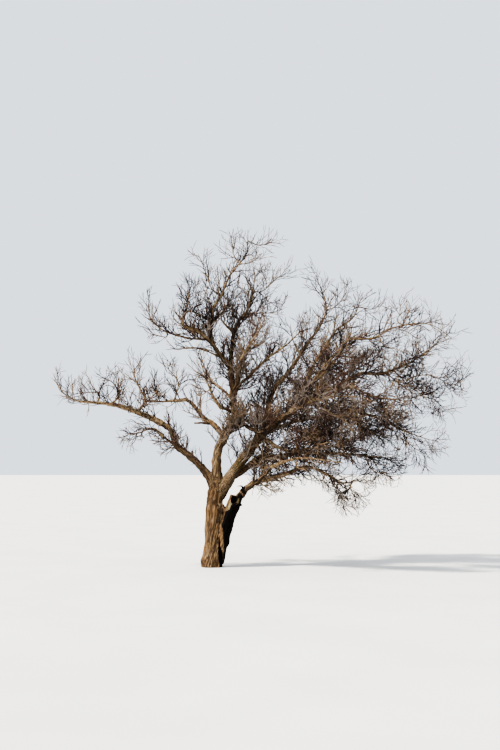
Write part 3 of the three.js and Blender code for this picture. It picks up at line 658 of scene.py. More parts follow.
class Limb:
    """A row of stations: places, the way it runs there, two directions across it, and radii."""

    def __init__(self, points, radius_at, step, level=False):
        self.points = points
        self.radius_at = radius_at
        self.level = level
        self.places = spaced_places(points, step)
        self.count = len(self.places) - 1
        held = np.vstack([self.places[:1], self.places, self.places[-1:]])
        self.along = np.tile(UP, (self.count + 1, 1)) if level else unit(held[2:] - held[:-2])
        helper = RIGHT if abs(self.along[0][1]) > STEEP else AWAY
        side = RIGHT if level else unit(np.cross(helper, self.along[0]))
        sides = []
        for along in self.along:
            side = unit(side - along * np.dot(side, along))
            sides.append(side)
        self.side = np.array(sides)
        self.other = np.cross(self.side, self.along)
        self.radii = np.array([radius_at(i / self.count) for i in range(self.count + 1)])
        self.runs = runs_of(self.places)

    def finer(self, step):
        """The same limb with its stations about a finer step apart."""
        return Limb(self.points, self.radius_at, step, self.level)

    def at(self, share):
        """Place, direction, the two across and radius at a share of its length."""
        x = min(max(share, 0), 1) * self.count
        i = min(int(x), self.count - 1)
        f = x - i
        along = unit(self.along[i] * (1 - f) + self.along[i + 1] * f)
        spot = self.places[i] * (1 - f) + self.places[i + 1] * f
        radius = self.radii[i] + (self.radii[i + 1] - self.radii[i]) * f
        return spot, along, self.side[i], self.other[i], radius


def taper(girth, power=1):
    """Half the girth at a share of a limb's length."""
    return lambda share: (girth[0] + (girth[1] - girth[0]) * share ** power) / 2


def by_table(table):
    """A radius read from an even table."""
    return lambda share: float(np.interp(share, np.linspace(0, 1, len(table)), table))


def root_of(limbs, on, at):
    """Where a limb starts: on its parent's axis, and just inside the tip where it goes on from there."""
    spot, along, _, _, radius = limbs[on].at(at)
    return spot - along * (radius * SUNK_IN_TIP if at == 1 else 0)


def limb_of(row, step):
    """The limb that a row's girth and drawn way make."""
    return Limb(places_of(row["way"]), taper(row["girth"]), step)


def draw_limbs():
    """The trunk, its prong and the boughs, as in the source."""
    limbs = {
        "trunk": Limb(places_of(TRUNK_WAY), by_table(TRUNK_RADII), TRUNK_STEP, True),
        "prong": limb_of(PRONG, BOUGH_STEP),
    }
    for name, bough in BOUGHS.items():
        points = [root_of(limbs, bough["on"], bough["at"])] + places_of(bough["way"])
        limbs[name] = Limb(points, taper(bough["girth"]), BOUGH_STEP)
    return limbs


def ways_of(mass, limbs):
    """A mass's ways: its stem from the bough's tip, then each side limb from the nearest station."""
    tip = SHOOT["tip"] * 2
    stem = [root_of(limbs, mass["on"], 1)] + places_of(mass["ways"][0])
    ways = [Limb(stem, taper([mass["girth"], tip], WAY_TAPER), STEM_STEP)]
    for drawn in mass["ways"][1:]:
        points = places_of(drawn)
        stations = [(host.places[i], host.radii[i]) for host in ways for i in range(host.count)]
        foot, radius = min(stations, key=lambda s: np.linalg.norm(s[0] - points[0]))
        girth = max(radius * SIDE_OF_HOST, SHOOT["girth"])
        ways.append(Limb([foot] + points, taper([girth, tip], WAY_TAPER), STEM_STEP))
    return ways


def in_batches(work, points):
    """What some work gives for many points, in batches that fit in memory."""
    return np.concatenate([work(points[n:n + BATCH]) for n in range(0, max(len(points), 1), BATCH)])


class Segments:
    """The straight pieces of some limbs, to measure how far points are from them."""

    def __init__(self, rows):
        self.start = np.vstack([limb.places[:-1] for limb in rows])
        self.run = np.vstack([np.diff(limb.places, axis=0) for limb in rows])
        self.radius = np.concatenate([limb.radii[:-1] for limb in rows])
        self.radius_end = np.concatenate([limb.radii[1:] for limb in rows])
        self.limb = np.concatenate([np.full(limb.count, n) for n, limb in enumerate(rows)])
        self.piece = np.concatenate([np.arange(limb.count) for limb in rows])
        self.square = np.sum(self.run ** 2, axis=1)

    def gaps(self, points):
        """For each point and each piece: the distance, the share along it and the distance to its skin."""
        offset = points[:, None] - self.start
        share = np.clip(np.einsum("pnk,nk->pn", offset, self.run) / self.square, 0, 1)
        gap = np.linalg.norm(offset - share[..., None] * self.run, axis=2)
        return gap, share, gap - self.radius - (self.radius_end - self.radius) * share

    def nearest(self, points):
        """Distance to the nearest piece."""
        return in_batches(lambda some: self.gaps(some)[0].min(axis=1), points)

    def nearest_skin(self, points):
        """Distance to the nearest skin."""
        return in_batches(lambda some: self.gaps(some)[2].min(axis=1), points)


def first_shoots(mass, seed, masses, limb_segments):
    """The source's shoots of a mass: foot, tip, heading and girth of each one that keeps to its space."""
    found = []
    for w, way in enumerate(mass["grown"]):
        length = STEM_STEP * way.count
        for n in range(int((length - SHOOT["first"]) // SHOOT["spacing"])):
            dice = dice_of(seed_under(seed_under(seed, w), n))
            share = (SHOOT["first"] + SHOOT["spacing"] * (n + dice() * SHOOT["jitter"])) / length
            foot, along, side, other, radius = way.at(share)
            turn = GOLDEN_TURN * n + dice()
            lean = SHOOT["lean"][0] + (SHOOT["lean"][1] - SHOOT["lean"][0]) * dice()
            heading = unit(turned(along, turned(side, other, turn), lean) + UP * mass["lift"])
            reach = mass["reach"] * (SHOOT["shortest"] + SHOOT["spread"] * dice())
            reach *= 1 - SHOOT["fade"] * share
            girth = min(radius * SHOOT["of_host"], SHOOT["girth"])
            found.append((foot, foot + heading * reach, heading, girth))
    feet, tips, headings, girths = (np.array(part) for part in zip(*found))
    keep = np.ones(len(feet), bool)
    for part in SHOOT_TESTS:
        points = feet + (tips - feet) * part
        own = mass["space"].nearest(points) / mass["reach"]
        keep &= (own <= 1) & (points[:, 2] >= GROUND_CLEAR)
        keep &= limb_segments.nearest_skin(points) >= LIMB_MARGIN
        for other in masses.values():
            if other is not mass:
                keep &= other["space"].nearest(points) / other["reach"] > own + SPACE_MARGIN
    return feet[keep], tips[keep], headings[keep], girths[keep]


def grow(feet, headings, lengths, look, rng):
    """Crooked ways from feet along headings: (twigs, stations, 3)."""
    count = look["segments"]
    steps = rng.normal(0, look["wander"], (len(feet), count, 3))
    drift = np.cumsum(steps, axis=1)
    drift[:, :, 2] += look["curl"] * np.linspace(0, 1, count)
    ways = unit(headings[:, None] + drift) * (lengths / count)[:, None, None]
    return np.concatenate([feet[:, None], feet[:, None] + np.cumsum(ways, axis=1)], axis=1)


def tapered(girths, tip, stations):
    """Radii from each girth down to a tip."""
    return (girths[:, None] + (tip - girths[:, None]) * np.linspace(0, 1, stations)) / 2


class Twigs:
    """A batch of twigs that have the same number of stations: their ways, radii and sprays."""

    def __init__(self, ways, radii, sprays, sides):
        self.ways = ways
        self.radii = radii
        self.sprays = sprays
        self.sides = sides

    def only(self, keep):
        return Twigs(self.ways[keep], self.radii[keep], self.sprays[keep], self.sides)


def finer_twigs(hosts, look, growth, rng, new_sprays=False):
    """Finer twigs off a batch of hosts, by the shoots' rule: even feet, a golden turn and a lean."""
    stations = hosts.ways.shape[1]
    pieces = np.diff(hosts.ways, axis=1)
    lengths = np.linalg.norm(pieces, axis=2).sum(axis=1)
    spacing = look["spacing"] / growth["crowd"]
    counts = np.maximum((lengths - look["first"]) // spacing, 0).astype(int)
    owner = np.repeat(np.arange(len(counts)), counts)
    n = np.arange(counts.sum()) - np.repeat(np.cumsum(counts) - counts, counts)
    jitter = rng.random(len(owner)) * FINER_JITTER
    share = np.minimum((look["first"] + spacing * (n + jitter)) / lengths[owner], FINER_LAST_FOOT)
    x = share * (stations - 1)
    i = np.minimum(x.astype(int), stations - 2)
    f = (x - i)[:, None]
    feet = hosts.ways[owner, i] * (1 - f) + hosts.ways[owner, i + 1] * f
    along = unit(pieces[owner, i])
    radius = hosts.radii[owner, i] * (1 - f[:, 0]) + hosts.radii[owner, i + 1] * f[:, 0]
    side = across_of(along)
    turn = GOLDEN_TURN * n + owner + rng.random(len(owner))
    lean = rng.uniform(look["lean"][0], look["lean"][1], len(owner))
    out = turned(side, np.cross(side, along), turn[:, None])
    heading = unit(turned(along, out, lean[:, None]) + UP * growth["lift"] * FINER_LIFT)
    low, high = look["length"] if "length" in look else np.array(look["of_reach"]) * growth["reach"]
    reach = radius + rng.uniform(low, high, len(owner)) * (1 - look["fade"] * share)
    thickness = look["girth"] * rng.uniform(FINER_THINNEST, 1, len(owner))
    girth = np.minimum(radius * 2 * FINER_OF_HOST, thickness)
    ways = grow(feet, heading, reach, look, rng)
    sprays = rng.integers(0, WORD, len(owner)) if new_sprays else hosts.sprays[owner]
    return Twigs(ways, tapered(girth, look["tip"], look["segments"] + 1), sprays, look["sides"])


def kept_in(room, twigs, growth):
    """The twigs that stay in their reach, inside the solids' box and clear of limbs, less those that
    the clearings leave out."""
    keep = np.ones(len(twigs.ways), bool)
    last = twigs.ways.shape[1] - 1
    rolls = np.random.default_rng(CLEARING_SEED).random(len(keep))
    for clearing in CLEARINGS.values():
        keep &= ~(seen_in(clearing, twigs.ways[:, last // 2]) & (rolls < clearing["share"]))
    for part in FINER_TESTS:
        points = twigs.ways[:, int(round(part * last))]
        keep &= (points > room.low).all(axis=1) & (points < room.high).all(axis=1)
        keep &= growth["space"].nearest(points) <= growth["reach"]
        keep &= room.limbs.nearest_skin(points) >= 0
    return twigs.only(keep)


def tube_arrays(twigs):
    """Corners (mm), four-sided faces, three-sided faces and their sprays, of tubes that end in a point."""
    ways, radii, sides = twigs.ways, twigs.radii, twigs.sides
    tubes, stations, _ = ways.shape
    along = unit(np.gradient(ways, axis=1))
    first = across_of(unit(ways[:, -1] - ways[:, 0]))[:, None]
    side = unit(first - along * np.sum(first * along, axis=2, keepdims=True))
    other = np.cross(side, along)
    angles = 2 * np.pi * np.arange(sides) / sides
    ring = turned(side[:, :-1, None], other[:, :-1, None], angles[:, None])
    corners = ways[:, :-1, None] + ring * radii[:, :-1, None, None]
    corners = np.concatenate([corners.reshape(tubes, -1, 3), ways[:, -1:]], axis=1)
    per_tube = corners.shape[1]
    j, s = np.meshgrid(np.arange(stations - 2), np.arange(sides), indexing="ij")
    here, there = j * sides + s, j * sides + (s + 1) % sides
    quads = np.stack([here, here + sides, there + sides, there], axis=-1).reshape(-1, 4)
    end = (stations - 2) * sides
    s = np.arange(sides)
    tris = np.stack([end + s, np.full(sides, per_tube - 1), end + (s + 1) % sides], axis=-1)
    offset = (np.arange(tubes) * per_tube)[:, None, None]
    quad_sprays = np.repeat(twigs.sprays, len(quads))
    tri_sprays = np.repeat(twigs.sprays, len(tris))
    quads, tris = (quads + offset).reshape(-1, 4), (tris + offset).reshape(-1, 3)
    return corners.reshape(-1, 3), quads, tris, quad_sprays, tri_sprays


def linked(name, data):
    """An object for a mesh, lamp or camera, in the scene."""
    made = bpy.data.objects.new(name, data)
    bpy.context.scene.collection.objects.link(made)
    return made


def mesh_of(name, corners, quads, tris, paint, finishes):
    """An object from arrays in millimetres, its faces painted by the numbers of their finishes."""
    mesh = bpy.data.meshes.new(name)
    mesh.vertices.add(len(corners))
    mesh.vertices.foreach_set("co", (corners * MM).astype(np.float32).ravel())
    loops = np.concatenate([quads.ravel(), tris.ravel()]).astype(np.int32)
    starts = np.concatenate([np.arange(len(quads)) * 4, len(quads) * 4 + np.arange(len(tris)) * 3])
    mesh.loops.add(len(loops))
    mesh.loops.foreach_set("vertex_index", loops)
    mesh.polygons.add(len(starts))
    mesh.polygons.foreach_set("loop_start", starts.astype(np.int32))
    for finish in finishes:
        mesh.materials.append(finish)
    mesh.update(calc_edges=True)
    mesh.polygons.foreach_set("material_index", np.asarray(paint, np.int32))
    mesh.polygons.foreach_set("use_smooth", np.ones(len(starts), bool))
    mesh.validate()
    return linked(name, mesh)


def smooth_noise(points, size, offset=0.0):
    """Noise from -1 to 1 at points, with features of about a size."""
    rows = points / size + offset
    return np.array([noise.noise(row) for row in rows.tolist()])


def ridges(points, size):
    """0 in the furrows between bark ridges and 1 on them."""
    rows = points / size[:, None]
    near = np.array([noise.voronoi(row)[0][:2] for row in rows.tolist()])
    furrow = np.clip((near[:, 1] - near[:, 0]) / RELIEF["furrow_width"], 0, 1)
    return furrow * furrow * (3 - 2 * furrow)


def closed_tube(limb, sides, swell=None, collar=0.0):
    """Corners and faces of a limb's closed tube, in millimetres."""
    angles = 2 * np.pi * np.arange(sides) / sides
    out = turned(limb.side[:, None], limb.other[:, None], angles[:, None])
    radii = limb.radii * (1 + collar * np.exp(-limb.runs / (BARK["collar_fade"] * limb.radii[0])))
    reach = np.tile(radii[:, None], (1, sides))
    if swell is not None:
        reach = reach + swell(limb.places[:, 2:3], angles[None, :])
    corners = (limb.places[:, None] + out * reach[..., None]).reshape(-1, 3)
    faces = []
    for j in range(len(limb.places) - 1):
        for s in range(sides):
            t = (s + 1) % sides
            faces.append((j * sides + s, (j + 1) * sides + s, (j + 1) * sides + t, j * sides + t))
    faces.append(tuple(range(sides)))
    faces.append(tuple(reversed(range(len(corners) - sides, len(corners)))))
    return corners, faces


def leaning(tilt):
    """The turn of something that leans about Y."""
    c, s = math.cos(tilt), math.sin(tilt)
    return np.array([[c, 0, s], [0, 1, 0], [-s, 0, c]])


def blob(middle, half, tilt=0.0):
    """Corners and faces of an ellipsoid that leans about Y, in millimetres."""
    ball = bmesh.new()
    around, up = BARK["ball"]
    bmesh.ops.create_uvsphere(ball, u_segments=around, v_segments=up, radius=1)
    corners = np.array([v.co for v in ball.verts]) * half
    faces = [tuple(v.index for v in face.verts) for face in ball.faces]
    ball.free()
    return corners @ leaning(tilt).T + middle, faces


def solid_object(name, parts):
    """One plain object from several closed parts."""
    corners, faces = [], []
    for part_corners, part_faces in parts:
        faces += [tuple(len(corners) + n for n in face) for face in part_faces]
        corners += (part_corners * MM).tolist()
    mesh = bpy.data.meshes.new(name)
    mesh.from_pydata(corners, [], faces)
    return linked(name, mesh)


def flare_at(height, angle):
    """How far the trunk's foot stands out, as in the source."""
    fade = np.exp(-np.maximum(height, 0) / FLARE["height"])
    return fade * (FLARE["out"] + FLARE["lobe"] * np.cos(FLARE["lobes"] * angle + FLARE["turn"]))


def spur_limb(spur):
    """A dead spur's limb, nowhere thinner than its least."""
    limb = limb_of(spur, SPUR_STEP)
    limb.radii = np.maximum(limb.radii, SPUR_LEAST)
    return limb


def remesh(body, name):
    """A modifier that makes one even skin of voxels of all that a body has."""
    skin = body.modifiers.new(name, "REMESH")
    skin.mode = "VOXEL"
    skin.voxel_size = BARK["voxel"] * MM


def fused_limbs(limbs):
    """Corners (mm) and four-sided faces of the trunk and boughs, grown together and carved."""
    fine = {name: limb.finer(BARK["fine_step"]) for name, limb in limbs.items()}
    below = fine["trunk"]
    below.places = np.vstack([below.places[0] - UP * BARK["foot_below"], below.places])
    for part in ("along", "side", "other", "radii"):
        held = getattr(below, part)
        setattr(below, part, np.concatenate([held[:1], held]))
    below.runs = np.concatenate([[0], below.runs + BARK["foot_below"]])
    parts = [closed_tube(below, BARK["trunk_sides"], flare_at)]
    parts.append(closed_tube(fine["prong"], BARK["trunk_sides"]))
    for name in BOUGHS:
        parts.append(closed_tube(fine[name], BARK["bough_sides"], collar=BARK["collar"]))
    parts.append(blob(**BURL))
    for spur in SPURS:
        parts.append(closed_tube(spur_limb(spur), BARK["bough_sides"]))
    body = solid_object("limbs_to_fuse", parts)
    cuts = [
        solid_object("hollow_cut", [blob(**HOLLOW)]),
        solid_object("crack_cut", [closed_tube(limb_of(CRACK, SPUR_STEP), BARK["crack_sides"])]),
    ]
    remesh(body, "fuse")
    for cut in cuts:
        carve = body.modifiers.new(cut.name, "BOOLEAN")
        carve.operation = "DIFFERENCE"
        carve.solver = "EXACT"
        carve.object = cut
    remesh(body, "even")
    bpy.context.view_layer.update()
    shaped = bpy.data.meshes.new_from_object(body.evaluated_get(bpy.context.evaluated_depsgraph_get()))
    corners = np.zeros(len(shaped.vertices) * 3, np.float32)
    shaped.vertices.foreach_get("co", corners)
    totals = np.zeros(len(shaped.polygons), np.int32)
    shaped.polygons.foreach_get("loop_total", totals)
    loops = np.zeros(len(shaped.loops), np.int32)
    shaped.loops.foreach_get("vertex_index", loops)
    for made in (body, *cuts):
        bpy.data.objects.remove(made)
    assert (totals == 4).all()
    return corners.reshape(-1, 3).astype(float) / MM, loops.reshape(-1, 4)


def corner_normals(corners, quads):
    """Normals at the corners of a mesh of four-sided faces."""
    first, second, third, fourth = (corners[quads[:, k]] for k in range(4))
    across = np.cross(third - first, fourth - second)
    normals = np.zeros_like(corners)
    for k in range(4):
        for axis in range(3):
            normals[:, axis] += np.bincount(quads[:, k], across[:, axis], len(corners))
    return unit(normals)


def relaxed(corners, quads, weight, rounds):
    """Corners drawn towards their neighbours' middle, by each one's weight."""
    a = quads.ravel()
    b = np.roll(quads, -1, axis=1).ravel()
    ends = np.concatenate([a, b])
    others = np.concatenate([b, a])
    count = np.bincount(ends, minlength=len(corners))[:, None]
    for _ in range(rounds):
        total = np.stack([np.bincount(ends, corners[others, k], len(corners)) for k in range(3)], axis=1)
        corners = corners + (total / count - corners) * weight[:, None] * BARK["join_step"]
    return corners


def limb_coordinates(corners, limbs):
    """Where each corner is on its limb: the limb, how far along, the angle round it, the radius there,
    the next limb's lead and the share of the limb's length."""
    rows = list(limbs.values())
    segments = Segments(rows)
    found = []
    for n in range(0, len(corners), BATCH):
        some = corners[n:n + BATCH]
        _, share, skin = segments.gaps(some)
        best = skin.argmin(axis=1)
        pick = np.arange(len(some))
        elsewhere = np.where(segments.limb[None, :] == segments.limb[best][:, None], np.inf, skin)
        found.append((best, share[pick, best], elsewhere.min(axis=1) - skin[pick, best]))
    best, share, lead = (np.concatenate(part) for part in zip(*found))
    limb = segments.limb[best]
    starts = np.cumsum([0] + [row.count + 1 for row in rows])
    station = starts[limb] + segments.piece[best]
    side, other, run, radii = (
        np.concatenate([getattr(row, part) for row in rows]) for part in ("side", "other", "runs", "radii")
    )
    f = share[:, None]
    out = corners - segments.start[best] - segments.run[best] * f
    across = np.sum(out * (side[station] * (1 - f) + side[station + 1] * f), axis=1)
    beside = np.sum(out * (other[station] * (1 - f) + other[station + 1] * f), axis=1)
    along = run[station] * (1 - share) + run[station + 1] * share
    return SimpleNamespace(
        limb=limb, along=along, angle=np.arctan2(beside, across), lead=lead,
        radius=radii[station] * (1 - share) + radii[station + 1] * share,
        part=along / run[starts[limb + 1] - 1],
    )


def grain_places(where):
    """Places on the bark as if each limb ran straight up: round it, and drawn out along it."""
    turn = where.angle + where.along * MM * RELIEF["twist"]
    across, beside = np.cos(turn) * where.radius, np.sin(turn) * where.radius
    rolled = np.stack([across, beside, where.along * RELIEF["stretch"]], axis=1)
    return rolled + where.limb[:, None] * RELIEF["limb_gap"]


def relief_of(corners, where, grain):
    """How far the bark stands out at each corner, and 0 in its furrows to 1 on its ridges."""
    radius = where.radius
    size = np.clip(radius * RELIEF["ridge_of_radius"], *RELIEF["ridge"])
    meander = smooth_noise(corners, RELIEF["meander_size"])[:, None] * size[:, None] * RELIEF["meander"]
    ridge = ridges(grain + meander, size)
    depth = np.minimum(radius * RELIEF["depth_of_radius"], RELIEF["deepest"])
    fade = np.clip(where.lead / RELIEF["seam_fade"], RELIEF["seam_least"], 1)
    rough = smooth_noise(corners, RELIEF["rough_size"], NOISE_OFFSETS["rough"])
    raised = depth * (ridge - RELIEF["ridge_middle"]) * fade + depth * RELIEF["rough"] * rough
    stem = where.limb <= LAST_STEM
    lump = radius * np.where(stem, RELIEF["lump"], RELIEF["bough_lump"])
    lumps = corners / (RELIEF["lump_size"] * radius[:, None])
    raised += lump * smooth_noise(lumps, 1, NOISE_OFFSETS["lump"])
    turn = where.angle[stem] + where.along[stem] * MM * RELIEF["twist"]
    around = np.stack([np.cos(turn), np.sin(turn)], axis=1) * RELIEF["flutes"]
    drawn = np.column_stack([around, where.along[stem] * MM * RELIEF["flute_stretch"]])
    raised[stem] += RELIEF["flute"] * smooth_noise(drawn, 1, NOISE_OFFSETS["flute"]) * fade[stem]
    return raised, ridge


def knots_on(corners, limbs, where):
    """Old branch scars that stand out from the boughs, a few to each metre."""
    raised = np.zeros(len(corners))
    rng = np.random.default_rng(SEED)
    for n, limb in enumerate(limbs.values()):
        count = max(1, int(limb.runs[-1] / KNOTS["spacing"]))
        mine = where.limb == n
        for k in range(count):
            spot, _, side, other, radius = limb.at((k + rng.uniform(*KNOTS["places"])) / count)
            middle = spot + turned(side, other, rng.uniform(0, 2 * np.pi)) * radius
            size = radius * KNOTS["size"] * rng.uniform(*KNOTS["sizes"])
            out = radius * KNOTS["out"] * rng.uniform(*KNOTS["heights"])
            gap = np.linalg.norm(corners[mine] - middle, axis=1)
            raised[mine] += out * np.exp(-(gap / size) ** 2)
    return raised


def inside(points, middle, half, tilt=0.0):
    """Below 1 inside an ellipsoid that leans about Y."""
    return np.linalg.norm(((points - middle) @ leaning(tilt)) / half, axis=1)


def depth_in(points, form, edge=1):
    """About how deep points are in such a form, in millimetres."""
    gap = edge - inside(points, form["middle"], form["half"], form.get("tilt", 0.0))
    return gap * min(form["half"])


def mask(depth):
    """0.5 on an edge and 1 well inside it."""
    return np.clip(0.5 + depth / MASK_WIDTH, 0, 1)


def bark_masks(corners, where, limbs, crack_skin):
    """How far each corner is inside each change of the bark: 0.5 on its edge, and 1 well inside."""
    names = list(limbs)
    height = corners[:, 2]
    lichen = np.full(len(corners), -1.0)
    for name, (low, high) in LICHEN_ON.items():
        mine = where.limb == names.index(name)
        lichen[mine] = np.minimum(where.part - low, high - where.part)[mine] * LICHEN_FADE
    # char with painted shade: the prong goes dark on its side away from the sun, in front and below its top
    edge = np.interp(height, *np.array(BURNT_AND_SHADED_FROM).T)
    waves = smooth_noise(corners, BURNT_AND_SHADED_WAVES["size"], NOISE_OFFSETS["burnt"]) * BURNT_AND_SHADED_WAVES["out"]
    ends = np.minimum(BURNT_AND_SHADED_BEHIND - corners[:, 1], BURNT_AND_SHADED_TOP - height) * BURNT_AND_SHADED_RAGGEDNESS
    ends += waves * BURNT_AND_SHADED_RAGGEDNESS
    burnt = np.minimum(corners[:, 0] - edge, ends)
    burnt[where.limb > LAST_STEM] = -MASK_WIDTH
    # the snag takes the same burnt colour and painted shade
    snag = Segments([spur_limb(SPURS[BURNT_AND_SHADED_SPUR["which"]])])
    burnt = np.maximum(burnt, BURNT_AND_SHADED_SPUR["reach"] - snag.nearest_skin(corners))
    # painted shade in the crack: out of it low down, only deep inside it higher up
    closed = CRACK_DEPTH["closed_above"]
    closing = np.clip((closed - height) / (closed - CRACK_DEPTH["open_below"]), 0, 1)
    crack_reach = CRACK_DEPTH["dark"] * (3 * closing - 2)
    burnt = np.maximum(burnt, crack_reach - crack_skin)
    pale = np.zeros(len(corners))
    for torn in PALE_WOOD:
        pale = np.maximum(pale, mask(depth_in(corners, torn)) * torn["torn"])
    # painted shade in the hollow and in the pit
    pit = PIT["size"] - np.linalg.norm(corners - PIT["middle"], axis=1)
    dark = np.maximum(depth_in(corners, HOLLOW, HOLLOW_SHADE_EDGE), pit)
    return {
        "lichen": np.clip(0.5 + lichen, 0, LICHEN_MOST), "burnt": mask(burnt), "pale": pale,
        "worn": mask(depth_in(corners, WORN_KNOB)), "dark": mask(dark),
    }


def linear(colour):
    """A colour as it looks, as the shader takes it."""
    return tuple(c / 12.92 if c <= 0.04045 else ((c + 0.055) / 1.055) ** 2.4 for c in colour) + (1,)


class Finish:
    """A material under construction: shorthand for its nodes and links."""

    def __init__(self, name):
        self.material = bpy.data.materials.new(name)
        self.material.use_nodes = True
        self.tree = self.material.node_tree
        self.shader = self.tree.nodes["Principled BSDF"]
        self.places = self.node("TexCoord").outputs["Object"]

    def node(self, kind, **values):
        """A new node, with some of its values."""
        made = self.tree.nodes.new("ShaderNode" + kind)
        for name, value in values.items():
            made.inputs[name.replace("_", " ")].default_value = value
        return made

    def link(self, out, into):
        self.tree.links.new(out, into)

    def noise(self, scale, detail, rough, places=None):
        """Noise over the object's own places, or over others."""
        made = self.node("TexNoise", Scale=scale, Detail=detail, Roughness=rough)
        self.link(places or self.places, made.inputs["Vector"])
        return made.outputs["Fac"]

    def stretched(self, scale):
        """The object's own places, scaled by a different number along each axis."""
        made = self.node("Mapping", Scale=scale)
        self.link(self.places, made.inputs["Vector"])
        return made.outputs["Vector"]

    def steps(self, value, low, high):
        """0 below one value and 1 above another, with a soft step between them."""
        made = self.node("MapRange", From_Min=low, From_Max=high)
        made.interpolation_type = "SMOOTHSTEP"
        self.link(value, made.inputs["Value"])
        return made.outputs["Result"]

    def attribute(self, name, output="Fac"):
        """What the mesh holds under a name."""
        made = self.node("Attribute")
        made.attribute_name = name
        return made.outputs[output]

    def ragged(self, edge):
        """A mask from the mesh whose edge is broken up by noise, moved out where its shift is below 0."""
        made = self.node("Math")
        made.operation = "MULTIPLY_ADD"
        self.link(self.noise(edge["scale"], *EDGE_NOISE), made.inputs[0])
        made.inputs[1].default_value = edge["swing"]
        self.link(self.attribute(edge["mask"]), made.inputs[2])
        middle = 0.5 + edge["swing"] / 2 + edge["shift"]
        return self.steps(made.outputs["Value"], middle - EDGE_WIDTH, middle + EDGE_WIDTH)

    def mix(self, share, first, second):
        """From the first colour at a share of 0 to the second at 1."""
        made = self.node("Mix")
        made.data_type = "RGBA"
        self.link(share, made.inputs["Factor"])
        for value, socket in ((first, made.inputs["A"]), (second, made.inputs["B"])):
            if isinstance(value, tuple):
                socket.default_value = linear(value)
            else:
                self.link(value, socket)
        return made.outputs["Result"]

    def bumpy(self, height, distance, strength):
        """Relief too small for the mesh."""
        made = self.node("Bump", Distance=distance, Strength=strength)
        self.link(height, made.inputs["Height"])
        self.link(made.outputs["Normal"], self.shader.inputs["Normal"])

    def done(self, colour, rough):
        """The finished material."""
        self.link(colour, self.shader.inputs["Base Color"])
        self.shader.inputs["Roughness"].default_value = rough
        self.shader.inputs["Specular IOR Level"].default_value = SHEEN
        return self.material


def bark_finish(name, plate, warm, furrow):
    """Bark with its changes: tones in patches, grey flecks and fine furrows that run along the limb,
    lichen, worn and torn pale wood, painted shade on the undersides, the burnt side with painted shade
    on it, and painted shade in the dark hollows."""
    finish = Finish(name)
    grain = finish.attribute("grain", "Vector")
    fine = finish.noise(*NOISES["fine"], grain)
    wood = finish.noise(*NOISES["wood"], finish.stretched(WOOD_STRETCH))

    def stepped(value, step, low, high):
        return finish.mix(finish.steps(value, *STEPS[step]), low, high)

    tone = stepped(finish.noise(*NOISES["patches"]), "patches", COLOURS[plate], COLOURS[warm])
    tone = stepped(finish.noise(*NOISES["flecks"], grain), "flecks", tone, COLOURS["grey_plate"])
    for change in ("worn", "lichen"):
        tone = finish.mix(finish.ragged(EDGES[change]), tone, COLOURS[change])
    tone = stepped(fine, "furrows", COLOURS[furrow], tone)
    tone = stepped(finish.attribute("relief"), "relief", COLOURS[furrow], tone)
    # painted shade darkens the bark where it faces down
    tone = finish.mix(finish.attribute("painted_underside_shade"), tone, COLOURS["painted_underside_shade"])
    torn = stepped(wood, "wood_grain", COLOURS["wood_grain"], COLOURS["pale_wood"])
    torn = stepped(finish.attribute("pale"), "torn", COLOURS["old_wood"], torn)
    # the burnt side, the snag and the crack: char with painted shade on it
    burnt = stepped(wood, "scorched_and_shade", COLOURS["burnt"], COLOURS["scorched_and_shade"])
    changes = {"scorched_and_shade": COLOURS["scorched_and_shade"], "burnt": burnt, "torn": torn, "hollow": COLOURS["hollow"]}
    # the hollow colour is painted shade in the hollow and the pit
    for change, to in changes.items():
        tone = finish.mix(finish.ragged(EDGES[change]), tone, to)
    finish.bumpy(fine, *BARK_SURFACE["bump"])
    return finish.done(tone, BARK_SURFACE["rough"])


def twig_finish(name, tones):
    """One plain twig colour, a little lighter and darker along it."""
    finish = Finish(name)
    along = finish.steps(finish.noise(*NOISES["along_twig"]), *STEPS["along_twig"])
    finish.bumpy(finish.noise(*NOISES["twig_skin"]), *TWIG_SURFACE["bump"])
    return finish.done(finish.mix(along, tones["near"], tones["far"]), TWIG_SURFACE["rough"])


def bark_piece(name, corners, quads, bark, finish, nodes):
    """One piece of the bark from some of its faces, with what its finish reads at each corner."""
    used, compact = np.unique(quads, return_inverse=True)
    paint = np.zeros(len(quads), int)
    made = mesh_of(name, corners[used], compact.reshape(-1, 4), np.zeros((0, 3), int), paint, [finish])
    for kind, values in bark.items():
        if values.ndim == 1:
            held = made.data.attributes.new(kind, "FLOAT", "POINT")
            held.data.foreach_set("value", values[used].astype(np.float32))
        else:
            held = made.data.attributes.new(kind, "FLOAT_VECTOR", "POINT")
            held.data.foreach_set("vector", values[used].astype(np.float32).ravel())
    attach(made, "root")
    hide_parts(*nodes)


def flat_foot(corners, quads):
    """The bark's mesh cut level at the ground: nothing reaches below it."""
    keep = (corners[quads][:, :, 2] > 0).any(axis=1)
    corners = corners.copy()
    corners[:, 2] = np.maximum(corners[:, 2], 0)
    return corners, quads[keep]


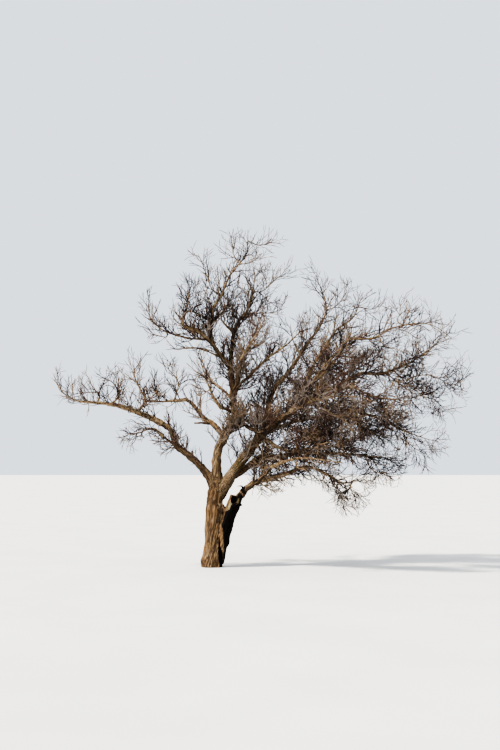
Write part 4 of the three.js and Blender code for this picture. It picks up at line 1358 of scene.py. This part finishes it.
def make_bark(limbs):
    """The trunk and the boughs with their bark's relief."""
    corners, quads = fused_limbs(limbs)
    where = limb_coordinates(corners, limbs)
    join = np.clip(1 - where.lead / BARK["join_reach"], 0, 1) * (corners[:, 2] > JOIN_FROM)
    carved = inside(corners, **HOLLOW) < CARVED["reach"]
    corners = relaxed(corners, quads, np.where(carved, CARVED["join"], join), BARK["join_rounds"])
    corners = relaxed(corners, quads, np.ones(len(corners)), 1)
    grain = grain_places(where)
    raised, ridge = relief_of(corners, where, grain)
    raised = (raised + knots_on(corners, limbs, where)) * np.where(carved, CARVED["relief"], 1)
    pit = np.linalg.norm(corners - PIT["middle"], axis=1) / PIT["size"]
    raised -= PIT["deep"] * np.exp(-pit ** 2)
    crack_skin = Segments([limb_of(CRACK, SPUR_STEP)]).nearest_skin(corners)
    raised -= CRACK_DEPTH["deep"] * np.exp(-(np.maximum(crack_skin, 0) / CRACK_DEPTH["wide"]) ** 2)
    normals = corner_normals(corners, quads)
    # painted shade: how far each corner's face turns down, to darken the bark under the limbs
    below = (-normals[:, 2] - PAINTED_UNDERSIDE_SHADE["from"]) / (PAINTED_UNDERSIDE_SHADE["full"] - PAINTED_UNDERSIDE_SHADE["from"])
    bark = {"relief": ridge, "grain": grain * MM, "painted_underside_shade": np.clip(below, 0, PAINTED_UNDERSIDE_SHADE["most"])}
    bark.update(bark_masks(corners, where, limbs, crack_skin))
    corners = corners + normals * raised[:, None]
    corners, quads = flat_foot(corners, quads)
    on_trunk = where.limb[quads[:, 0]] <= LAST_STEM
    trunk_finish = bark_finish("trunk_bark", "plate", "warm_plate", "furrow")
    bough_finish = bark_finish("bough_bark", "bough_plate", "bough_warm", "bough_furrow")
    bark_piece("trunk_with_bark", corners, quads[on_trunk], bark, trunk_finish, ["trunk"])
    boughs = [f"bough_{name}" for name in BOUGHS]
    bark_piece("boughs_with_bark", corners, quads[~on_trunk], bark, bough_finish, boughs)


def way_tubes(mass, rng):
    """A mass's ways as crooked, knuckled tubes."""
    look = WAY_LOOK
    made = []
    for n, way in enumerate(mass["grown"]):
        fine = way.finer(look["step"])
        bends = [smooth_noise(fine.places, look["bend_size"], rng.uniform(0, NOISE_SPREAD)) for _ in range(3)]
        to_end = np.minimum(fine.runs, fine.runs[-1] - fine.runs)
        ease = np.clip(to_end / look["straight_ends"], 0, 1)[:, None]
        spots = fine.places + np.stack(bends, axis=1) * look["bend"] * ease
        bumps = smooth_noise(spots, look["knuckle_size"], rng.uniform(0, NOISE_SPREAD))
        knuckle = 1 + look["knuckle"] * bumps
        collar = look["collar"] if n else 0
        swell = 1 + collar * np.exp(-fine.runs / (look["collar_fade"] * fine.radii[0]))
        radii = fine.radii * look["girth"] * knuckle * swell
        made.append(Twigs(spots[None], radii[None], np.array([LIMB_SPRAY]), look["sides"]))
    return made


def hosts_from(rows, first=0.0):
    """Limbs once more, all with the same number of stations, for twigs to grow on."""
    ways, radii = [], []
    shares = np.linspace(first, 1, HOST_STATIONS)
    for limb in rows:
        spots = curve_at(limb.points, np.linspace(0, 1, ARC_PARTS))
        runs = runs_of(spots)
        ways.append(np.stack([np.interp(shares * runs[-1], runs, spots[:, k]) for k in range(3)], axis=1))
        radii.append([limb.radius_at(share) for share in shares])
    return Twigs(np.array(ways), np.array(radii), np.full(len(ways), LIMB_SPRAY), 0)


def grown_shoots(drawn, rng):
    """Shoots from foot to tip, made crooked on the way."""
    feet, tips, headings, girths = drawn
    sprays = rng.integers(0, WORD, len(feet))
    lengths = np.linalg.norm(tips - feet, axis=1)
    ways = grow(feet, headings, lengths, SHOOT_LOOK, rng)
    miss = tips - ways[:, -1]
    ways = ways + miss[:, None] * np.linspace(0, 1, ways.shape[1])[None, :, None]
    radii = tapered(girths * SHOOT_LOOK["girth"], SHOOT["tip"], ways.shape[1])
    return Twigs(ways, radii, sprays, SHOOT_LOOK["sides"])


def twigs_on(hosts, growth, shoots, room, rng):
    """Everything finer that grows on some limbs and on their shoots."""
    def grown(some_hosts, kind, new_sprays=False):
        return kept_in(room, finer_twigs(some_hosts, FINER[kind], growth, rng, new_sprays), growth)

    branchlets = grown(hosts, "branchlet", True)
    long_ones = grown(hosts, "long", True)
    short_ones = [grown(some, "short") for some in (shoots, branchlets) if some is not None]
    last_ones = [grown(some, "last") for some in (long_ones, *short_ones)]
    return [branchlets, long_ones, *short_ones, *last_ones]


def thicket_twigs(batches, growth, room, rng):
    """More twigs in the thickets, off the batches that grow there."""
    made = []
    for thicket in THICKETS.values():
        more = {**growth, "crowd": thicket["crowd"]}
        for hosts in batches:
            near = seen_in(thicket, hosts.ways[:, hosts.ways.shape[1] // 2])
            if not near.any():
                continue
            for kind in ("long", "short"):
                added = kept_in(room, finer_twigs(hosts.only(near), FINER[kind], more, rng, True), more)
                last = kept_in(room, finer_twigs(added, FINER["last"], growth, rng), growth)
                made += [added, last]
    return made


def mass_twigs(name, masses, seed, limbs, room):
    """Everything that grows in one mass: its limbs, and its twigs down to the finest."""
    rng = np.random.default_rng(seed)
    thicket_rng = np.random.default_rng(seed + 1)
    mass = masses[name]
    shoots = grown_shoots(first_shoots(mass, seed, masses, room.limbs), rng)
    grown = [shoots, *twigs_on(hosts_from(mass["grown"]), mass, shoots, room, rng)]
    # thickets grow on the first batches: shoots, branchlets and long twigs
    thickets = thicket_twigs(grown[:3], mass, room, thicket_rng)
    for bough, rule in BOUGH_TWIGS.items():
        if rule["with"] == name:
            growth = {**rule, "space": Segments([limbs[bough]])}
            hosts = hosts_from([limbs[bough]], rule["from"])
            on_bough = twigs_on(hosts, growth, None, room, rng)
            grown += on_bough
            thickets += thicket_twigs(on_bough[:2], growth, room, thicket_rng)
    return way_tubes(mass, rng) + [batch for batch in grown + thickets if len(batch.ways)]


def painted(sprays):
    """The number of each face's finish: the limbs' own, or a twig colour by the colours' shares."""
    edges = np.cumsum([tone["share"] for tone in TWIG_COLOURS.values()])
    dealt = np.minimum(np.searchsorted(edges, (sprays % DEALS) / DEALS), len(edges) - 1)
    return np.where(sprays == LIMB_SPRAY, 0, dealt + 1)


def crown_piece(name, mass_names, grown, finishes):
    """One joined piece of the crown: the limbs and the twigs of some masses."""
    tubes = [tube_arrays(batch) for mass_name in mass_names for batch in grown[mass_name]]
    corners, quads, tris, quad_sprays, tri_sprays = zip(*tubes)
    offsets = np.cumsum([0] + [len(some) for some in corners])
    quads, tris = (np.concatenate([f + n for f, n in zip(faces, offsets)]) for faces in (quads, tris))
    paint = painted(np.concatenate(quad_sprays + tri_sprays))
    made = mesh_of(name, np.concatenate(corners), quads, tris, paint, finishes)
    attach(made, "root")
    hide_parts(*[f"twigs_{mass_name}" for mass_name in mass_names])


def make_crown(limbs):
    """The masses as limbs and twigs, in joined pieces."""
    low, high = (np.array(list(corner)) / MM for corner in CAD_BOX)
    room = SimpleNamespace(limbs=Segments(list(limbs.values())), low=low, high=high)
    masses = {name: dict(mass) for name, mass in MASSES.items()}
    for mass in masses.values():
        mass["grown"] = ways_of(mass, limbs)
        mass["space"] = Segments(mass["grown"])
    grown = {}
    for n, name in enumerate(masses):
        grown[name] = mass_twigs(name, masses, seed_under(SEED, n), limbs, room)
    limb_bark = twig_finish("limb_bark", LIMB_COLOURS)
    finishes = [limb_bark] + [twig_finish(f"twigs_{name}", tones) for name, tones in TWIG_COLOURS.items()]
    for name, mass_names in CROWN_PIECES.items():
        crown_piece(name, mass_names, grown, finishes)


def make_camera():
    """The photograph's view: a standing eye, pitched up a little."""
    camera = linked("eye", bpy.data.cameras.new("eye"))
    camera.data.lens = LENS_MM
    camera.data.sensor_width = SENSOR_MM
    camera.location = (EYE["across"] * MM, -EYE["back"] * MM, EYE["up"] * MM)
    camera.rotation_euler = (math.radians(90 + PITCH_DEG), 0, 0)
    bpy.context.scene.camera = camera


def make_floor():
    """A plain pale floor."""
    half = STAGE["floor_size"] / 2
    corners = [(-half, -half, 0), (half, -half, 0), (half, half, 0), (-half, half, 0)]
    mesh = bpy.data.meshes.new("floor")
    mesh.from_pydata(corners, [], [(0, 1, 2, 3)])
    floor = linked("floor", mesh)
    paint = Finish("pale_floor")
    patches = paint.steps(paint.noise(*NOISES["floor"]), *STEPS["floor"])
    shade = tuple(c * STAGE["floor_shade"] for c in STAGE["floor"])
    colour = paint.mix(patches, STAGE["floor"], shade)
    floor.data.materials.append(paint.done(colour, STAGE["floor_rough"]))


def make_stage():
    """The floor, a pale sky, and one soft sun from the left."""
    bpy.context.scene.view_settings.look = STAGE["look"]
    make_floor()
    world = bpy.data.worlds.new("pale_sky")
    world.use_nodes = True
    sky = world.node_tree.nodes["Background"]
    sky.inputs["Color"].default_value = linear(STAGE["sky"])
    sky.inputs["Strength"].default_value = STAGE["sky_strength"]
    bpy.context.scene.world = world
    lamp = bpy.data.lights.new("sun", "SUN")
    lamp.energy = STAGE["sun"]
    lamp.angle = math.radians(STAGE["sun_width_deg"])
    lamp.color = STAGE["sun_colour"]
    turn, height = math.radians(STAGE["sun_turn_deg"]), math.radians(STAGE["sun_height_deg"])
    level = math.cos(height)
    toward = Vector((-math.sin(turn) * level, math.cos(turn) * level, math.sin(height)))
    sun = linked("sun", lamp)
    sun.rotation_mode = "QUATERNION"
    sun.rotation_quaternion = toward.to_track_quat("Z", "Y")


make_camera()
make_stage()
drawn_limbs = draw_limbs()
make_bark(drawn_limbs)
make_crown(drawn_limbs)

bpy.context.view_layer.update()
